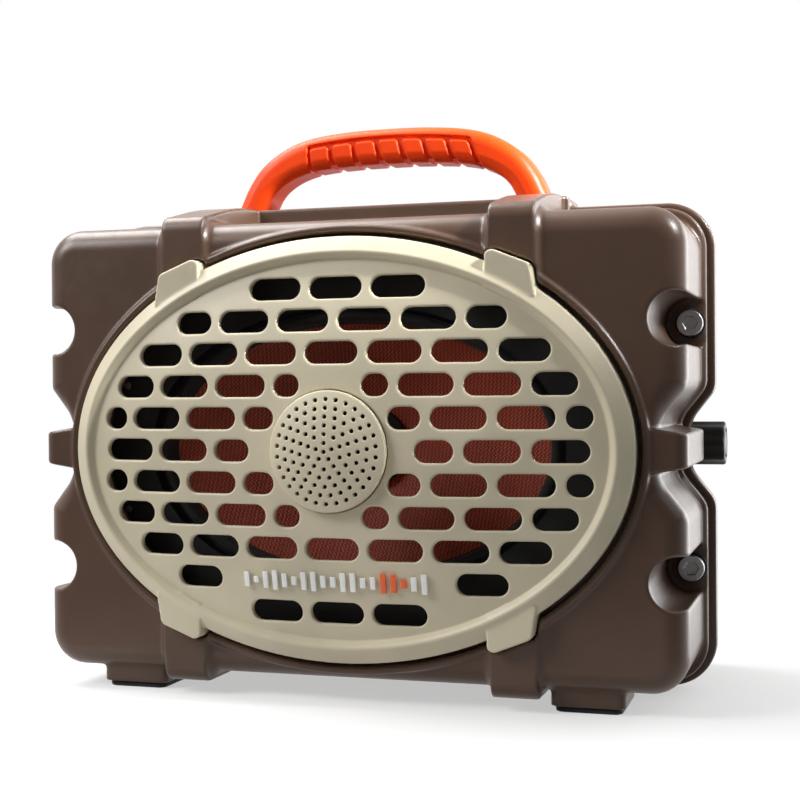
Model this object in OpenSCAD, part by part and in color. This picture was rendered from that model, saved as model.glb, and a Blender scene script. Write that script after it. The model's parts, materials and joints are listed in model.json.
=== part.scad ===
// Rugged outdoor speaker box: two moulded half shells clamped round a gasket, an oval grille,
// a six by nine woofer with a small tweeter in front of it, a carry handle and a screw capped port.
// Millimetres. X runs left to right, the grille faces -Y, Z is up, and the feet stand on Z = 0.

/* [Case] */
// Half of the width over the side walls
case_half_w = 185; // [178:1:190]
// Half of the height over the top and bottom walls
case_half_h = 127; // [124:1:130]
// Height of the middle of the grille above the floor
mid_z = 139; // [139:1:142]
// Front face of the case
front_y = -70; // [-74:1:-66]
// Face where the front shell meets the gasket
seam_y = 17; // [14:1:20]
// Rear face of the case
back_y = 100; // [98:1:110]
// Wall thickness of both shells
wall = 4; // [3:0.5:5]
// Radius of the case corners in the front view
corner_r = 20; // [14:1:24]
// Radius along the front and rear edges
edge_r = 10; // [6:1:12]

/* [Flanges] */
// How far the front shell's rim stands out from its walls
front_rim = 3; // [2:0.5:4]
// How far the rear shell's rim stands out from its walls, at the sides
rear_rim = 7; // [5:0.5:8]
// Thickness of each rim, front to back
rim_t = 8; // [6:0.5:10]
// Thickness of the gasket between the shells
gasket_t = 1.5; // [1:0.1:2]

/* [Waist] */
// Depth of the notch in the middle of each side wall
waist_in = 15; // [10:1:16]
// Half height of the notch where it leaves the side wall
waist_open = 34; // [30:1:38]
// Half height of the floor of the notch
waist_floor = 15; // [13:1:17]

/* [Straps] */
// Inner edge of the raised strap that crosses the case, from the middle
strap_in = 79; // [76:1:82]
// Outer edge of the same strap
strap_out = 110; // [108:1:114]
// How far the straps stand out at the front and back
strap_up = 3; // [2:0.5:4]
// Height of the straps above the middle at the top and bottom
strap_half_h = 132; // [130:1:134]
// Height of the handle platform above the middle
platform_h = 143.4; // [141:0.1:145]

/* [Case screws] */
// Distance of the four clamp screws from the middle, across
screw_x = 179.5; // [178:0.5:180]
// Distance of the four clamp screws from the middle, up and down
screw_z = 68.5; // [60:0.5:80]
// Radius of the scoop that gives room for the screw head
scoop_r = 14; // [12:0.5:15]
// Radius of the screw head
head_r = 7.2; // [5:0.1:7.5]
// Diameter of the screw thread
screw_d = 6; // [5:1:6]

/* [Grille] */
// Half width of the grille over its rim
grille_a = 160; // [156:1:162]
// Half height of the grille over its rim
grille_b = 116; // [112:1:118]
// Foremost point of the domed grille face
apex_y = -95; // [-97:0.5:-93]
// Radius of the dome from side to side
dome_rx = 694; // [660:1:720]
// Radius of the dome from top to bottom
dome_rz = 326; // [310:1:340]
// Distance between slots along a row
slot_pitch = 35; // [34:0.5:36]
// Distance between rows of slots
row_pitch = 17.55; // [17:0.05:18]
// Length of a full slot
slot_l = 30; // [28:0.5:31]
// Height of a slot
slot_h = 12; // [10:0.5:13]
// Radius of the round tweeter cover
cover_r = 32.5; // [30:0.5:34]

/* [Speaker] */
// Half width of the woofer cone
cone_a = 110.7; // [105:0.1:112]
// Half height of the woofer cone
cone_b = 70; // [66:0.5:72]
// Height position of the cone's rim, front to back
cone_y = -46; // [-47:0.5:-45]

/* [Handle] */
// Front to back thickness of the handle
handle_d = 28; // [24:1:30]
// Middle of the handle, front to back
handle_y = 25; // [24:0.5:27]
// Top of the handle above the floor
handle_top = 329; // [326:1:334]

/* [Controls] */
// Height of the middle of the control panel
panel_z = 205; // [195:1:212]
// Distance between buttons
button_pitch = 28; // [26:1:30]
// Radius of a button
button_r = 7.6; // [6.5:0.1:8]

/* [Port] */
// Position of the port on the right side, front to back
port_y = 46; // [46:1:60]
// Outer radius of the screw cap's body
cap_r = 12.6; // [12.5:0.1:13.5]

/* [Hidden] */
$fn = 48;
rear_y = seam_y + gasket_t;
inner_w = case_half_w - wall;
inner_h = case_half_h - wall;
front_in = front_y + 12;
seat_floor = front_y + 8;
seat_a = grille_a + 2.5;
seat_b = grille_b + 2.5;
floor_z = 3;
grip_in = 80;
bar_pitch = 5.6;
bar_w = 3;

// ---- helpers ------------------------------------------------------------------------------

// Extrudes a front view outline, drawn with X across and Y up, from y0 back to y1
module along_y(y0, y1) {
    translate([0, y1, 0]) rotate([90, 0, 0]) linear_extrude(y1 - y0) children();
}

// Extrudes a side view outline, drawn with Y across and Z up, from x0 to x1
module along_x(x0, x1) {
    translate([x0, 0, 0]) rotate([90, 0, 90]) linear_extrude(x1 - x0) children();
}

// A cylinder that points front to back
module rod_y(r, y0, y1) {
    translate([0, y1, 0]) rotate([90, 0, 0]) cylinder(r = r, h = y1 - y0);
}

// A cylinder that points left to right
module rod_x(r, x0, x1) {
    translate([x0, 0, 0]) rotate([0, 90, 0]) cylinder(r = r, h = x1 - x0);
}

// Rounded rectangle about the origin, with true arcs
module rounded(w, h, r) {
    square([w - 2 * r, h], center = true);
    square([w, h - 2 * r], center = true);
    for (sx = [-1, 1], sy = [-1, 1])
        translate([sx * (w / 2 - r), sy * (h / 2 - r)]) circle(r);
}

// Oval outline with half axes a and b
module oval(a, b) {
    polygon([for (t = [0:5:355]) [a * cos(t), b * sin(t)]]);
}

// Repeats its children at the four clamp screws
module at_case_screws() {
    for (sx = [-1, 1], sz = [-1, 1])
        translate([sx * screw_x, 0, mid_z + sz * screw_z]) children();
}

// Repeats its children on the left and on the right
module both_sides() {
    children();
    mirror([1, 0, 0]) children();
}

// Front view outline of the case with its notched waist; grow widens the notch
module waisted(half_w, half_h, r, grow) {
    difference() {
        rounded(2 * half_w, 2 * half_h, r);
        for (s = [-1, 1])
            polygon([[s * (half_w + 1), waist_open + grow], [s * half_w, waist_open + grow],
                [s * (half_w - waist_in), waist_floor + grow],
                [s * (half_w - waist_in), -waist_floor - grow],
                [s * half_w, -waist_open - grow], [s * (half_w + 1), -waist_open - grow]]);
    }
}

// Space inside a shell from y0 to y1, kept clear of the screw bosses
module hollow(y0, y1, boss_r) {
    translate([0, 0, mid_z]) along_y(y0, y1) difference() {
        waisted(inner_w, inner_h, corner_r - wall, wall);
        for (sx = [-1, 1], sz = [-1, 1])
            translate([sx * screw_x, sz * screw_z]) circle(boss_r);
    }
}

// Case block between y0 and y1 with its edges rounded about the profile from p0 to p1
module rounded_case(y0, y1, p0, p1) {
    translate([0, 0, mid_z]) intersection() {
        along_y(y0, y1) waisted(case_half_w, case_half_h, corner_r, 0);
        along_x(-case_half_w, case_half_w) translate([(p0 + p1) / 2, 0])
            rounded(p1 - p0, 2 * case_half_h, edge_r);
        translate([0, 0, -case_half_h]) linear_extrude(2 * case_half_h)
            translate([0, (p0 + p1) / 2]) rounded(2 * case_half_w, p1 - p0, edge_r);
    }
}

// Clearance holes for the four clamp screws
module screw_holes(y0, y1, r) {
    at_case_screws() rod_y(r, y0, y1);
}

// ---- shells -------------------------------------------------------------------------------

// The strap's profile over the top of the front shell, rising to the handle platform
module front_strap() {
    lift = strap_half_h - case_half_h;
    translate([0, 0, mid_z]) {
        along_x(strap_in, strap_out) polygon([[front_y - strap_up, 95],
            [front_y - strap_up, case_half_h - 2], [front_y + lift, strap_half_h],
            [seam_y - rim_t, platform_h], [seam_y, platform_h], [seam_y, 95]]);
        along_x(strap_in, strap_out) polygon([[front_y - strap_up, -95],
            [front_y - strap_up, -case_half_h + 2], [front_y + lift, -strap_half_h],
            [seam_y, -strap_half_h], [seam_y, -95]]);
    }
}

// The strap's profile down the back of the rear shell
module rear_strap() {
    lift = strap_half_h - case_half_h;
    translate([0, 0, mid_z]) along_x(strap_in, strap_out)
        polygon([[rear_y, -strap_half_h], [back_y - lift, -strap_half_h],
            [back_y + strap_up, -case_half_h + 2], [back_y + strap_up, case_half_h - 2],
            [back_y - lift, strap_half_h], [rear_y, strap_half_h]]);
}

// The belt across the waist of one side
module belt(y0, y1) {
    translate([0, 0, mid_z]) along_y(y0, y1)
        polygon([[case_half_w - 22, 12], [case_half_w - 18, 12], [case_half_w - 2, 9.5],
            [case_half_w + 0.5, 7], [case_half_w + 0.5, -7], [case_half_w - 2, -9.5],
            [case_half_w - 18, -12], [case_half_w - 22, -12]]);
}

// Outline of a grille tab over a strap, grown by g all round
module tab_outline(g) {
    polygon([[82 - g, 88], [82 - g, 104.5 + g], [86 - g, 106 + g], [106 + g, 98 + g],
        [109 + g, 80], [90, 80]]);
}

module front_shell() {
    color("#4f3d34")
    difference() {
        union() {
            rounded_case(front_y, seam_y, front_y, seam_y + 40);
            translate([0, 0, mid_z]) along_y(seam_y - rim_t, seam_y)
                waisted(case_half_w + front_rim, case_half_h + 7, corner_r + 3, -1);
            translate([-strap_out, seam_y - rim_t, mid_z + 100])
                cube([2 * strap_out, rim_t, platform_h - 100]);
            both_sides() {
                front_strap();
                belt(front_y, seam_y);
                translate([112, front_y + 8, floor_z]) cube([40, 37, 20]);
            }
            translate([0, 0, mid_z]) along_y(front_y - 1.5, front_y + 1)
                oval(seat_a + 3.5, seat_b + 3.5);
        }
        hollow(front_in, seam_y + 1, scoop_r + wall);
        translate([0, 0, mid_z]) {
            along_y(front_y - 10, seat_floor) oval(seat_a, seat_b);
            along_y(front_y, front_in + 1) oval(148, 104);
            for (sx = [0, 1], sz = [0, 1])
                mirror([sx, 0, 0]) mirror([0, 0, sz])
                    along_y(front_y - 10, seat_floor) tab_outline(1);
        }
        at_case_screws() rod_y(scoop_r, front_y - 10, seam_y - rim_t);
        screw_holes(seam_y - 20, seam_y + 1, screw_d / 2 + 0.3);
        grille_screw_places() rod_y(2.2, seat_floor - 1, front_in + 1);
    }
}

module rear_shell() {
    color("#47362e")
    difference() {
        union() {
            rounded_case(rear_y, back_y, rear_y - 40, back_y);
            translate([0, 0, mid_z]) along_y(rear_y, rear_y + rim_t + 3)
                waisted(case_half_w + rear_rim, case_half_h + 11, corner_r + 4, -2.4);
            translate([-strap_out, rear_y, mid_z + 100])
                cube([2 * strap_out, 26, platform_h - 100]);
            both_sides() {
                rear_strap();
                translate([112, 50, floor_z]) cube([40, 35, 20]);
            }
        }
        hollow(rear_y - 1, back_y - wall, 10);
        screw_holes(rear_y - 1, rear_y + 12, 4.6);
        screw_holes(rear_y + 11, rear_y + 22, screw_d / 2 + 0.3);
        translate([0, 0, panel_z]) {
            along_y(back_y - 3, back_y + 10) rounded(152, 40, 8);
            along_y(back_y - 10, back_y) rounded(144, 33, 6);
        }
        translate([0, port_y, mid_z]) rod_x(10.2, 150, 200);
        translate([-135, 0, 80]) rod_y(6, back_y - 10, back_y + 5);
        handle_bolt_places() translate([0, 0, mid_z + inner_h - 1]) cylinder(r = 3.2, h = 30);
    }
}

module shell_gasket() {
    color("#1c1b1a")
    difference() {
        translate([0, 0, mid_z]) along_y(seam_y, rear_y)
            waisted(case_half_w + 1.5, case_half_h + 4, corner_r + 2, -0.5);
        hollow(seam_y - 1, rear_y + 1, 10);
        screw_holes(seam_y - 1, rear_y + 1, screw_d / 2 + 0.3);
    }
}

module case_screws() {
    color("silver")
    at_case_screws() difference() {
        union() {
            rod_y(screw_d / 2, seam_y - rim_t - 1.2, rear_y + 14);
            rod_y(head_r, seam_y - rim_t - 7.2, seam_y - rim_t - 1.2);
        }
        translate([0, seam_y - rim_t - 3.7, 0]) rotate([90, 0, 0]) cylinder(r = 4.2, h = 5, $fn = 6);
    }
}

module case_washers() {
    color("#161616")
    at_case_screws() difference() {
        rod_y(head_r + 1.2, seam_y - rim_t - 1.2, seam_y - rim_t);
        rod_y(screw_d / 2 + 0.2, seam_y - rim_t - 2, seam_y - rim_t + 1);
    }
}

module case_inserts() {
    color("goldenrod")
    at_case_screws() difference() {
        rod_y(4.6, rear_y + 0.2, rear_y + 11);
        rod_y(screw_d / 2 + 0.05, rear_y - 1, rear_y + 12);
    }
}

// ---- feet ---------------------------------------------------------------------------------

// A rubber pad under a foot block; side is -1 or 1
module foot_pad(side, y0, y1) {
    color("#191919")
    translate([side * 132, (y0 + y1) / 2, 0]) linear_extrude(floor_z) rounded(36, y1 - y0, 5);
}

module foot_front_left() { foot_pad(-1, -60, -27); }
module foot_front_right() { foot_pad(1, -60, -27); }
module foot_rear_left() { foot_pad(-1, 52, 83); }
module foot_rear_right() { foot_pad(1, 52, 83); }

// ---- grille -------------------------------------------------------------------------------

// Outer end of the field of slots along a row at height z
function field_end(z) = 141.5 * sqrt(1 - pow(z / 94, 2));

// Inner end of a row of slots, which steps round the tweeter cover; the badge takes one row
function field_start(row) = row == -4 ? 66.75 : abs(row) > 2 ? -slot_l : 46.75 - 14.6 * abs(row);

// Shell of the dome between two depths behind its face, about the middle of the grille
module dome_band(depth0, depth1) {
    translate([0, apex_y + dome_rz, 0]) rotate([0, 90, 0]) rotate([0, 0, -113])
        rotate_extrude(angle = 46, $fn = 96) intersection() {
            difference() {
                translate([dome_rz - dome_rx, 0]) circle(dome_rx - depth0, $fn = 96);
                translate([dome_rz - dome_rx, 0]) circle(dome_rx - depth1, $fn = 96);
            }
            translate([dome_rz - 40, -155]) square([50, 310]);
        }
}

// One slot between x0 and x1 at height z
module slot(x0, x1, z) {
    r = slot_h / 2;
    translate([x0 + r, z - r]) square([x1 - x0 - slot_h, slot_h]);
    translate([x0 + r, z]) circle(r, $fn = 24);
    translate([x1 - r, z]) circle(r, $fn = 24);
}

// Rows of slots, every other row set over by half a pitch, cut short at both ends of the field
module slots() {
    for (row = [-5:5], k = [0:4]) {
        z = row * row_pitch;
        c = row == -4 ? 80.5 : (k + (row % 2 == 0 ? 0.5 : 0)) * slot_pitch;
        lo = max(c - slot_l / 2, field_start(row));
        hi = min(c + slot_l / 2, field_end(z));
        if (hi - lo > 13.4 && (row != -4 || k == 0)) {
            slot(lo, hi, z);
            if (c > 0) mirror([1, 0]) slot(lo, hi, z);
        }
    }
}

module grille() {
    color("#c3b9a0")
    translate([0, 0, mid_z]) difference() {
        union() {
            difference() {
                union() {
                    along_y(apex_y + 19, seat_floor) oval(grille_a, grille_b);
                    hull() {
                        along_y(apex_y + 19, apex_y + 20) oval(grille_a, grille_b);
                        along_y(apex_y + 13, apex_y + 14) oval(grille_a - 9, grille_b - 9);
                    }
                    for (sx = [0, 1], sz = [0, 1])
                        mirror([sx, 0, 0]) mirror([0, 0, sz])
                            along_y(apex_y + 19, seat_floor) tab_outline(0);
                }
                along_y(apex_y, seat_floor + 1) oval(147.6, 103.6);
            }
            intersection() {
                dome_band(0, 4);
                along_y(apex_y - 5, seat_floor) oval(148, 104);
            }
        }
        along_y(apex_y - 5, seat_floor) slots();
        rod_y(cover_r + 0.1, apex_y - 5, apex_y + 10);
        translate([0, 0, -mid_z]) grille_screw_places() rod_y(1.6, seat_floor - 8, seat_floor + 1);
    }
}

// The four places where the grille is screwed on from behind
module grille_screw_places() {
    for (sx = [-1, 1], sz = [-1, 1])
        translate([sx * 90, 0, mid_z + sz * 91]) children();
}

module grille_screws() {
    color("silver")
    grille_screw_places() {
        rod_y(1.5, seat_floor - 7, front_in);
        rod_y(3.5, front_in, front_in + 2.2);
    }
}

module tweeter_cover() {
    rise = 4.8;
    ball_r = (cover_r * cover_r + rise * rise) / (2 * rise);
    color("#bdb39c")
    translate([0, 0, mid_z]) difference() {
        intersection() {
            rod_y(cover_r, apex_y - 9, apex_y + 2);
            translate([0, apex_y - 6.6 + ball_r, 0]) sphere(ball_r, $fn = 96);
        }
        intersection() {
            rod_y(cover_r - 2.5, apex_y - 9, apex_y + 3);
            translate([0, apex_y - 4.6 + ball_r, 0]) sphere(ball_r, $fn = 96);
        }
        for (ring = [0:6], k = [0:max(0, 5 * ring - 1)])
            rotate([0, 180 + (ring == 0 ? 0 : 360 * k / (5 * ring)), 0])
                translate([4.62 * ring, 0, 0]) rod_y(1.15, apex_y - 8, apex_y + 3, $fn = 16);
    }
}

// Height of bar k of the badge
function bar_h(k) = 3 + 8 * abs(sin(47 * k + 20));

// Bars k0 to k1 of the badge, about the middle of the grille
module badge_bars(k0, k1) {
    for (k = [k0:k1])
        translate([bar_pitch * k - bar_w / 2, apex_y - 5, -4 * row_pitch - bar_h(k) / 2])
            cube([bar_w, 20, bar_h(k)]);
}

// Bars k0 to k1, cut to a layer that follows the domed face
module badge_layer(k0, k1) {
    translate([0, 0, mid_z]) intersection() {
        dome_band(-1.6, -0.05);
        badge_bars(k0, k1);
    }
}

module grille_badge() {
    color("white") {
        badge_layer(-9, 4);
        badge_layer(8, 9);
    }
}

module badge_accent() {
    color("#e8622a") badge_layer(5, 7);
}

// ---- speakers -----------------------------------------------------------------------------

module baffle() {
    color("#151515")
    translate([0, 0, mid_z]) difference() {
        along_y(front_in, front_in + 8) oval(154, 110);
        along_y(front_in - 1, front_in + 9) oval(121, 80);
        translate([0, 0, -mid_z]) grille_screw_places() rod_y(4, front_in - 1, front_in + 9);
        for (sx = [-1, 1], sz = [-1, 1])
            translate([sx * 137, 0, sz * 36]) rod_y(2.2, front_in - 1, front_in + 9);
    }
}

module baffle_screws() {
    color("#3a3a3a")
    for (sx = [-1, 1], sz = [-1, 1])
        translate([sx * 137, 0, mid_z + sz * 36]) {
            rod_y(2, front_in + 0.5, front_in + 8);
            rod_y(4, front_in + 8, front_in + 10.5);
        }
}

module woofer_basket() {
    back = 12;
    color("#222222")
    translate([0, 0, mid_z]) {
        difference() {
            along_y(front_in + 8, front_in + 11) oval(128, 88);
            along_y(front_in + 7, front_in + 12) oval(119, 78);
        }
        difference() {
            rod_y(52, back - 4, back);
            rod_y(30, back - 5, back + 1);
        }
        for (a = [30:60:330]) {
            reach = 1 / sqrt(pow(cos(a) / 127, 2) + pow(sin(a) / 87, 2));
            rotate([0, a, 0]) translate([0, 0, -6]) linear_extrude(12)
                polygon([[reach - 5, front_in + 9.5], [reach - 0.5, front_in + 9.5],
                    [reach - 6, front_in + 26], [50, back - 1], [47, back - 3]]);
        }
    }
}

module woofer_surround() {
    color("#1b1b1b")
    translate([0, 0, mid_z]) difference() {
        union() {
            along_y(front_in + 7, front_in + 8) oval(120.5, 79.5);
            hull() {
                along_y(front_in + 7.5, cone_y + 0.5) oval(cone_a + 7.4, cone_b + 7.4);
                along_y(cone_y - 8.5, cone_y - 8) oval(cone_a + 5.2, cone_b + 5.2);
            }
        }
        along_y(cone_y - 12, cone_y + 2) oval(cone_a + 0.6, cone_b + 0.6);
    }
}

// Cone frustum from the oval rim to the round neck, moved back by dy
module cone_body(dy, neck) {
    hull() {
        along_y(cone_y + dy, cone_y + dy + 0.5) oval(cone_a, cone_b);
        along_y(cone_y + 24 + dy, cone_y + 24.5 + dy) oval(neck, neck);
    }
}

module woofer_cone() {
    color("#a8442c")
    translate([0, 0, mid_z]) difference() {
        cone_body(0, 24);
        cone_body(-1.6, 24);
        rod_y(20.2, cone_y, cone_y + 40);
    }
}

module dust_cap() {
    color("#101010")
    translate([0, 0, mid_z]) difference() {
        intersection() {
            translate([0, cone_y + 54, 0]) sphere(42);
            rod_y(24, cone_y, cone_y + 19);
        }
        translate([0, cone_y + 55.2, 0]) sphere(42);
    }
}

module voice_coil() {
    color("#b87333")
    translate([0, 0, mid_z]) difference() {
        rod_y(19.2, cone_y + 22, 30);
        rod_y(18.5, cone_y + 21, 31);
    }
}

module woofer_spider() {
    color("#b59a5a")
    translate([0, 0, mid_z]) difference() {
        union() {
            rod_y(46, 5.5, 8);
            for (r = [28:6:40])
                difference() {
                    rod_y(r + 1.5, 4.5, 8);
                    rod_y(r - 1.5, 4, 9);
                }
        }
        rod_y(19.7, 0, 10);
    }
}

module woofer_top_plate() {
    color("#8a8d90")
    translate([0, 0, mid_z]) difference() {
        rod_y(42, 12, 17);
        rod_y(19.8, 11, 18);
    }
}

module woofer_magnet() {
    color("#33363a")
    translate([0, 0, mid_z]) difference() {
        rod_y(46, 17, 35);
        rod_y(24, 16, 36);
    }
}

module woofer_back_plate() {
    color("#8a8d90")
    translate([0, 0, mid_z]) {
        rod_y(42, 35, 40);
        rod_y(17.9, 12, 35);
    }
}

module tweeter_housing() {
    color("#141414")
    translate([0, 0, mid_z]) difference() {
        rod_y(30, apex_y + 4.2, apex_y + 24);
        rod_y(27.5, apex_y + 4, apex_y + 21);
    }
}

module tweeter_dome() {
    color("#2a2a2e")
    translate([0, 0, mid_z]) {
        difference() {
            rod_y(27, apex_y + 10, apex_y + 12);
            rod_y(12.6, apex_y + 9, apex_y + 13);
        }
        intersection() {
            translate([0, apex_y + 22, 0]) sphere(16);
            rod_y(12.6, apex_y, apex_y + 12);
        }
    }
}

module tweeter_magnet() {
    color("#55585c") translate([0, 0, mid_z]) rod_y(20, apex_y + 12, apex_y + 21);
}

// ---- handle -------------------------------------------------------------------------------

// Right half of the handle's outline: outside from the foot up, then the finger side back down
grip_under = handle_top - 21.5;
half_grip = [[97, mid_z + platform_h], [91, 296], [82, 309], [70, 318.5], [56, 324],
    [30, handle_top - 1.2], [0, handle_top], [0, grip_under], [45, grip_under - 1.5],
    [58, 303.5], [67, 299], [74, 291], [grip_in, mid_z + platform_h]];

module handle() {
    color("#f0561d")
    difference() {
        both_sides() along_y(handle_y - handle_d / 2, handle_y + handle_d / 2) polygon(half_grip);
        for (k = [-4:4])
            translate([k * 14.6, handle_y - handle_d / 2, grip_under + 4])
                rotate([0, -14, 0]) cube([2.6, 3, 26], center = true);
        handle_bolt_places() translate([0, 0, mid_z + platform_h - 1]) cylinder(r = 2.8, h = 13);
    }
}

module handle_bolt_places() {
    for (s = [-1, 1]) translate([s * 88, handle_y + 5, 0]) children();
}

module handle_bolts() {
    top = mid_z + inner_h;
    color("silver")
    handle_bolt_places() {
        translate([0, 0, top - 2]) cylinder(r = 2.7, h = 30);
        translate([0, 0, top - 7]) cylinder(r = 4.6, h = 5);
    }
}

module handle_plates() {
    top = mid_z + inner_h;
    color("#9a9da0")
    for (s = [-1, 1]) difference() {
        translate([s * 88 - 12, rear_y + 1, top - 2]) cube([24, 22, 2]);
        translate([s * 88, handle_y + 5, top - 3]) cylinder(r = 3.2, h = 4);
    }
}

// ---- control panel ------------------------------------------------------------------------

module control_bezel() {
    color("#171717")
    translate([0, 0, panel_z]) difference() {
        along_y(back_y - 3, back_y + 1) rounded(151.6, 39.6, 7.8);
        for (k = [-2:2]) {
            translate([k * button_pitch, 0, -2]) rod_y(button_r + 0.4, back_y - 4, back_y + 2);
            translate([k * button_pitch, 0, 12]) rod_y(1.3, back_y - 4, back_y + 2);
        }
    }
}

// Button number k, counted from the middle one
module button(k, cap_colour) {
    color(cap_colour)
    translate([k * button_pitch, 0, panel_z - 2]) {
        rod_y(button_r, back_y - 3.6, back_y + 2.6);
        rod_y(button_r + 1.4, back_y - 5.2, back_y - 3.6);
    }
}

module button_power() { button(-2, "#e8622a"); }
module button_pair() { button(-1, "#2b2b2b"); }
module button_play() { button(0, "#2b2b2b"); }
module button_volume_down() { button(1, "#2b2b2b"); }
module button_volume_up() { button(2, "#2b2b2b"); }

module keypad() {
    color("#303030")
    translate([0, 0, panel_z]) {
        along_y(back_y - 10.5, back_y - 9) rounded(140, 30, 5);
        for (k = [-2:2]) translate([k * button_pitch, 0, -2]) rod_y(4, back_y - 9, back_y - 7.2);
    }
}

module key_board() {
    color("#1f5c36")
    translate([0, 0, panel_z]) along_y(back_y - 12.1, back_y - 10.5) rounded(142, 32, 3);
}

module light_pipes() {
    color("#e8f0f0")
    for (k = [-2:2])
        translate([k * button_pitch, 0, panel_z + 12]) rod_y(1.2, back_y - 9, back_y + 1.2);
}

// ---- electronics --------------------------------------------------------------------------

module amplifier_board() {
    color("#1f5c36")
    difference() {
        along_y(62, 63.6) translate([-105, 215]) square([94, 76], center = true);
        for (sx = [-1, 1], sz = [-1, 1])
            translate([-105 + sx * 42, 0, 215 + sz * 33]) rod_y(1.7, 61, 65);
    }
    color("#c8c8c8")
    for (sx = [-1, 1], sz = [-1, 1])
        translate([-105 + sx * 42, 0, 215 + sz * 33]) difference() {
            rod_y(3.5, 63.6, 80);
            rod_y(1.6, 63, 76);
        }
}

module heat_sink() {
    color("#707478") {
        translate([-134, 63.6, 188]) cube([58, 3, 50]);
        for (k = [0:7]) translate([-133 + 7.8 * k, 66.6, 188]) cube([1.8, 10, 50]);
    }
}

module capacitors() {
    color("#20304a")
    for (k = [0:2]) translate([-138 + 20 * k, 0, 238]) rod_y(8, 40, 62);
}

module inductors() {
    color("#6a3d22")
    for (k = [0:1])
        translate([-130 + 34 * k, 62, 202]) rotate([90, 0, 0])
            rotate_extrude() translate([9, 5]) circle(4.5, $fn = 24);
}

module battery_tray() {
    color("#262626")
    difference() {
        translate([-70, 50, mid_z - inner_h]) cube([140, 44, 46]);
        translate([-67.5, 52.5, mid_z - inner_h + 2.5]) cube([135, 39, 50]);
    }
}

module battery_cells() {
    color("#2f6fb0")
    for (x = [-66, 1], y = [62.3, 81.7], z = [28, 47]) translate([x, y, z]) rod_x(9.1, 0, 65);
}

module battery_board() {
    color("#1f5c36") translate([-60, 55, 57.2]) cube([120, 34, 1.6]);
}

module battery_cover() {
    color("#262626") translate([-70, 50, mid_z - inner_h + 46]) cube([140, 44, 2.5]);
}

// ---- port ---------------------------------------------------------------------------------

module port_housing() {
    color("#1a1a1a")
    translate([0, port_y, mid_z]) difference() {
        union() {
            rod_x(14, 163, inner_w - waist_in);
            rod_x(10, 163, 186);
        }
        rod_x(7.5, 168, 187);
        translate([160, -4.8, 1.6]) cube([10, 9.6, 3.8]);
        translate([0, 0, -3.6]) rod_x(3.1, 160, 170);
    }
}

module port_board() {
    color("#1f5c36")
    translate([152, port_y - 13, mid_z - 14]) cube([1.6, 26, 28]);
}

module usb_socket() {
    color("#b8bcc0")
    translate([153.6, port_y - 4.6, mid_z + 1.8]) difference() {
        cube([17.4, 9.2, 3.4]);
        translate([12, 0.5, 0.5]) cube([6, 8.2, 2.4]);
    }
}

module aux_socket() {
    color("#3c3c3c")
    translate([0, port_y, mid_z - 3.6]) difference() {
        rod_x(3, 153.6, 171);
        rod_x(1.75, 160, 172);
    }
}

module port_cap() {
    color("#121212")
    translate([0, port_y, mid_z]) difference() {
        union() {
            rod_x(cap_r - 0.8, 174.5, 194.5);
            rod_x(cap_r - 2, 194.5, 195.5);
            for (a = [0:45:315]) rotate([a, 0, 0]) translate([0, cap_r - 2.6, 0]) rod_x(2.6, 174.5, 194.5);
        }
        rod_x(10.6, 174, 190);
    }
}

module cap_seal() {
    color("#7a1f14")
    translate([0, port_y, mid_z]) difference() {
        rod_x(9.9, 186.4, 189.4);
        rod_x(7.6, 186, 190);
    }
}

module vent_plug() {
    color("#161616")
    translate([-135, 0, 80]) {
        rod_y(5.9, back_y - 8, back_y);
        rod_y(9, back_y, back_y + 2.5);
    }
}

front_shell();
rear_shell();
shell_gasket();
grille();
grille_screws();
tweeter_cover();
grille_badge();
badge_accent();
baffle();
baffle_screws();
woofer_basket();
woofer_surround();
woofer_cone();
dust_cap();
voice_coil();
woofer_spider();
woofer_top_plate();
woofer_magnet();
woofer_back_plate();
tweeter_housing();
tweeter_dome();
tweeter_magnet();
handle();
handle_bolts();
handle_plates();
case_screws();
case_washers();
case_inserts();
foot_front_left();
foot_front_right();
foot_rear_left();
foot_rear_right();
control_bezel();
keypad();
key_board();
button_power();
button_pair();
button_play();
button_volume_down();
button_volume_up();
light_pipes();
amplifier_board();
heat_sink();
capacitors();
inductors();
battery_tray();
battery_cells();
battery_board();
battery_cover();
port_housing();
port_board();
usb_socket();
aux_socket();
port_cap();
cap_seal();
vent_plug();
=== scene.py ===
"""Looks of a rugged portable speaker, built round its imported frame.

The moulded shells, the grille and the handle are shaped as distance fields in millimetres: solids are
combined with rounded unions and cuts, and the surface is then drawn as quads. Smaller pieces are lofted,
turned or bevelled.
"""

import json
import logging
import math
from dataclasses import dataclass, field
from enum import Enum
from typing import Iterable, Sequence

import bmesh
import bpy
import numpy as np
from mathutils import Matrix, Vector

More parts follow.
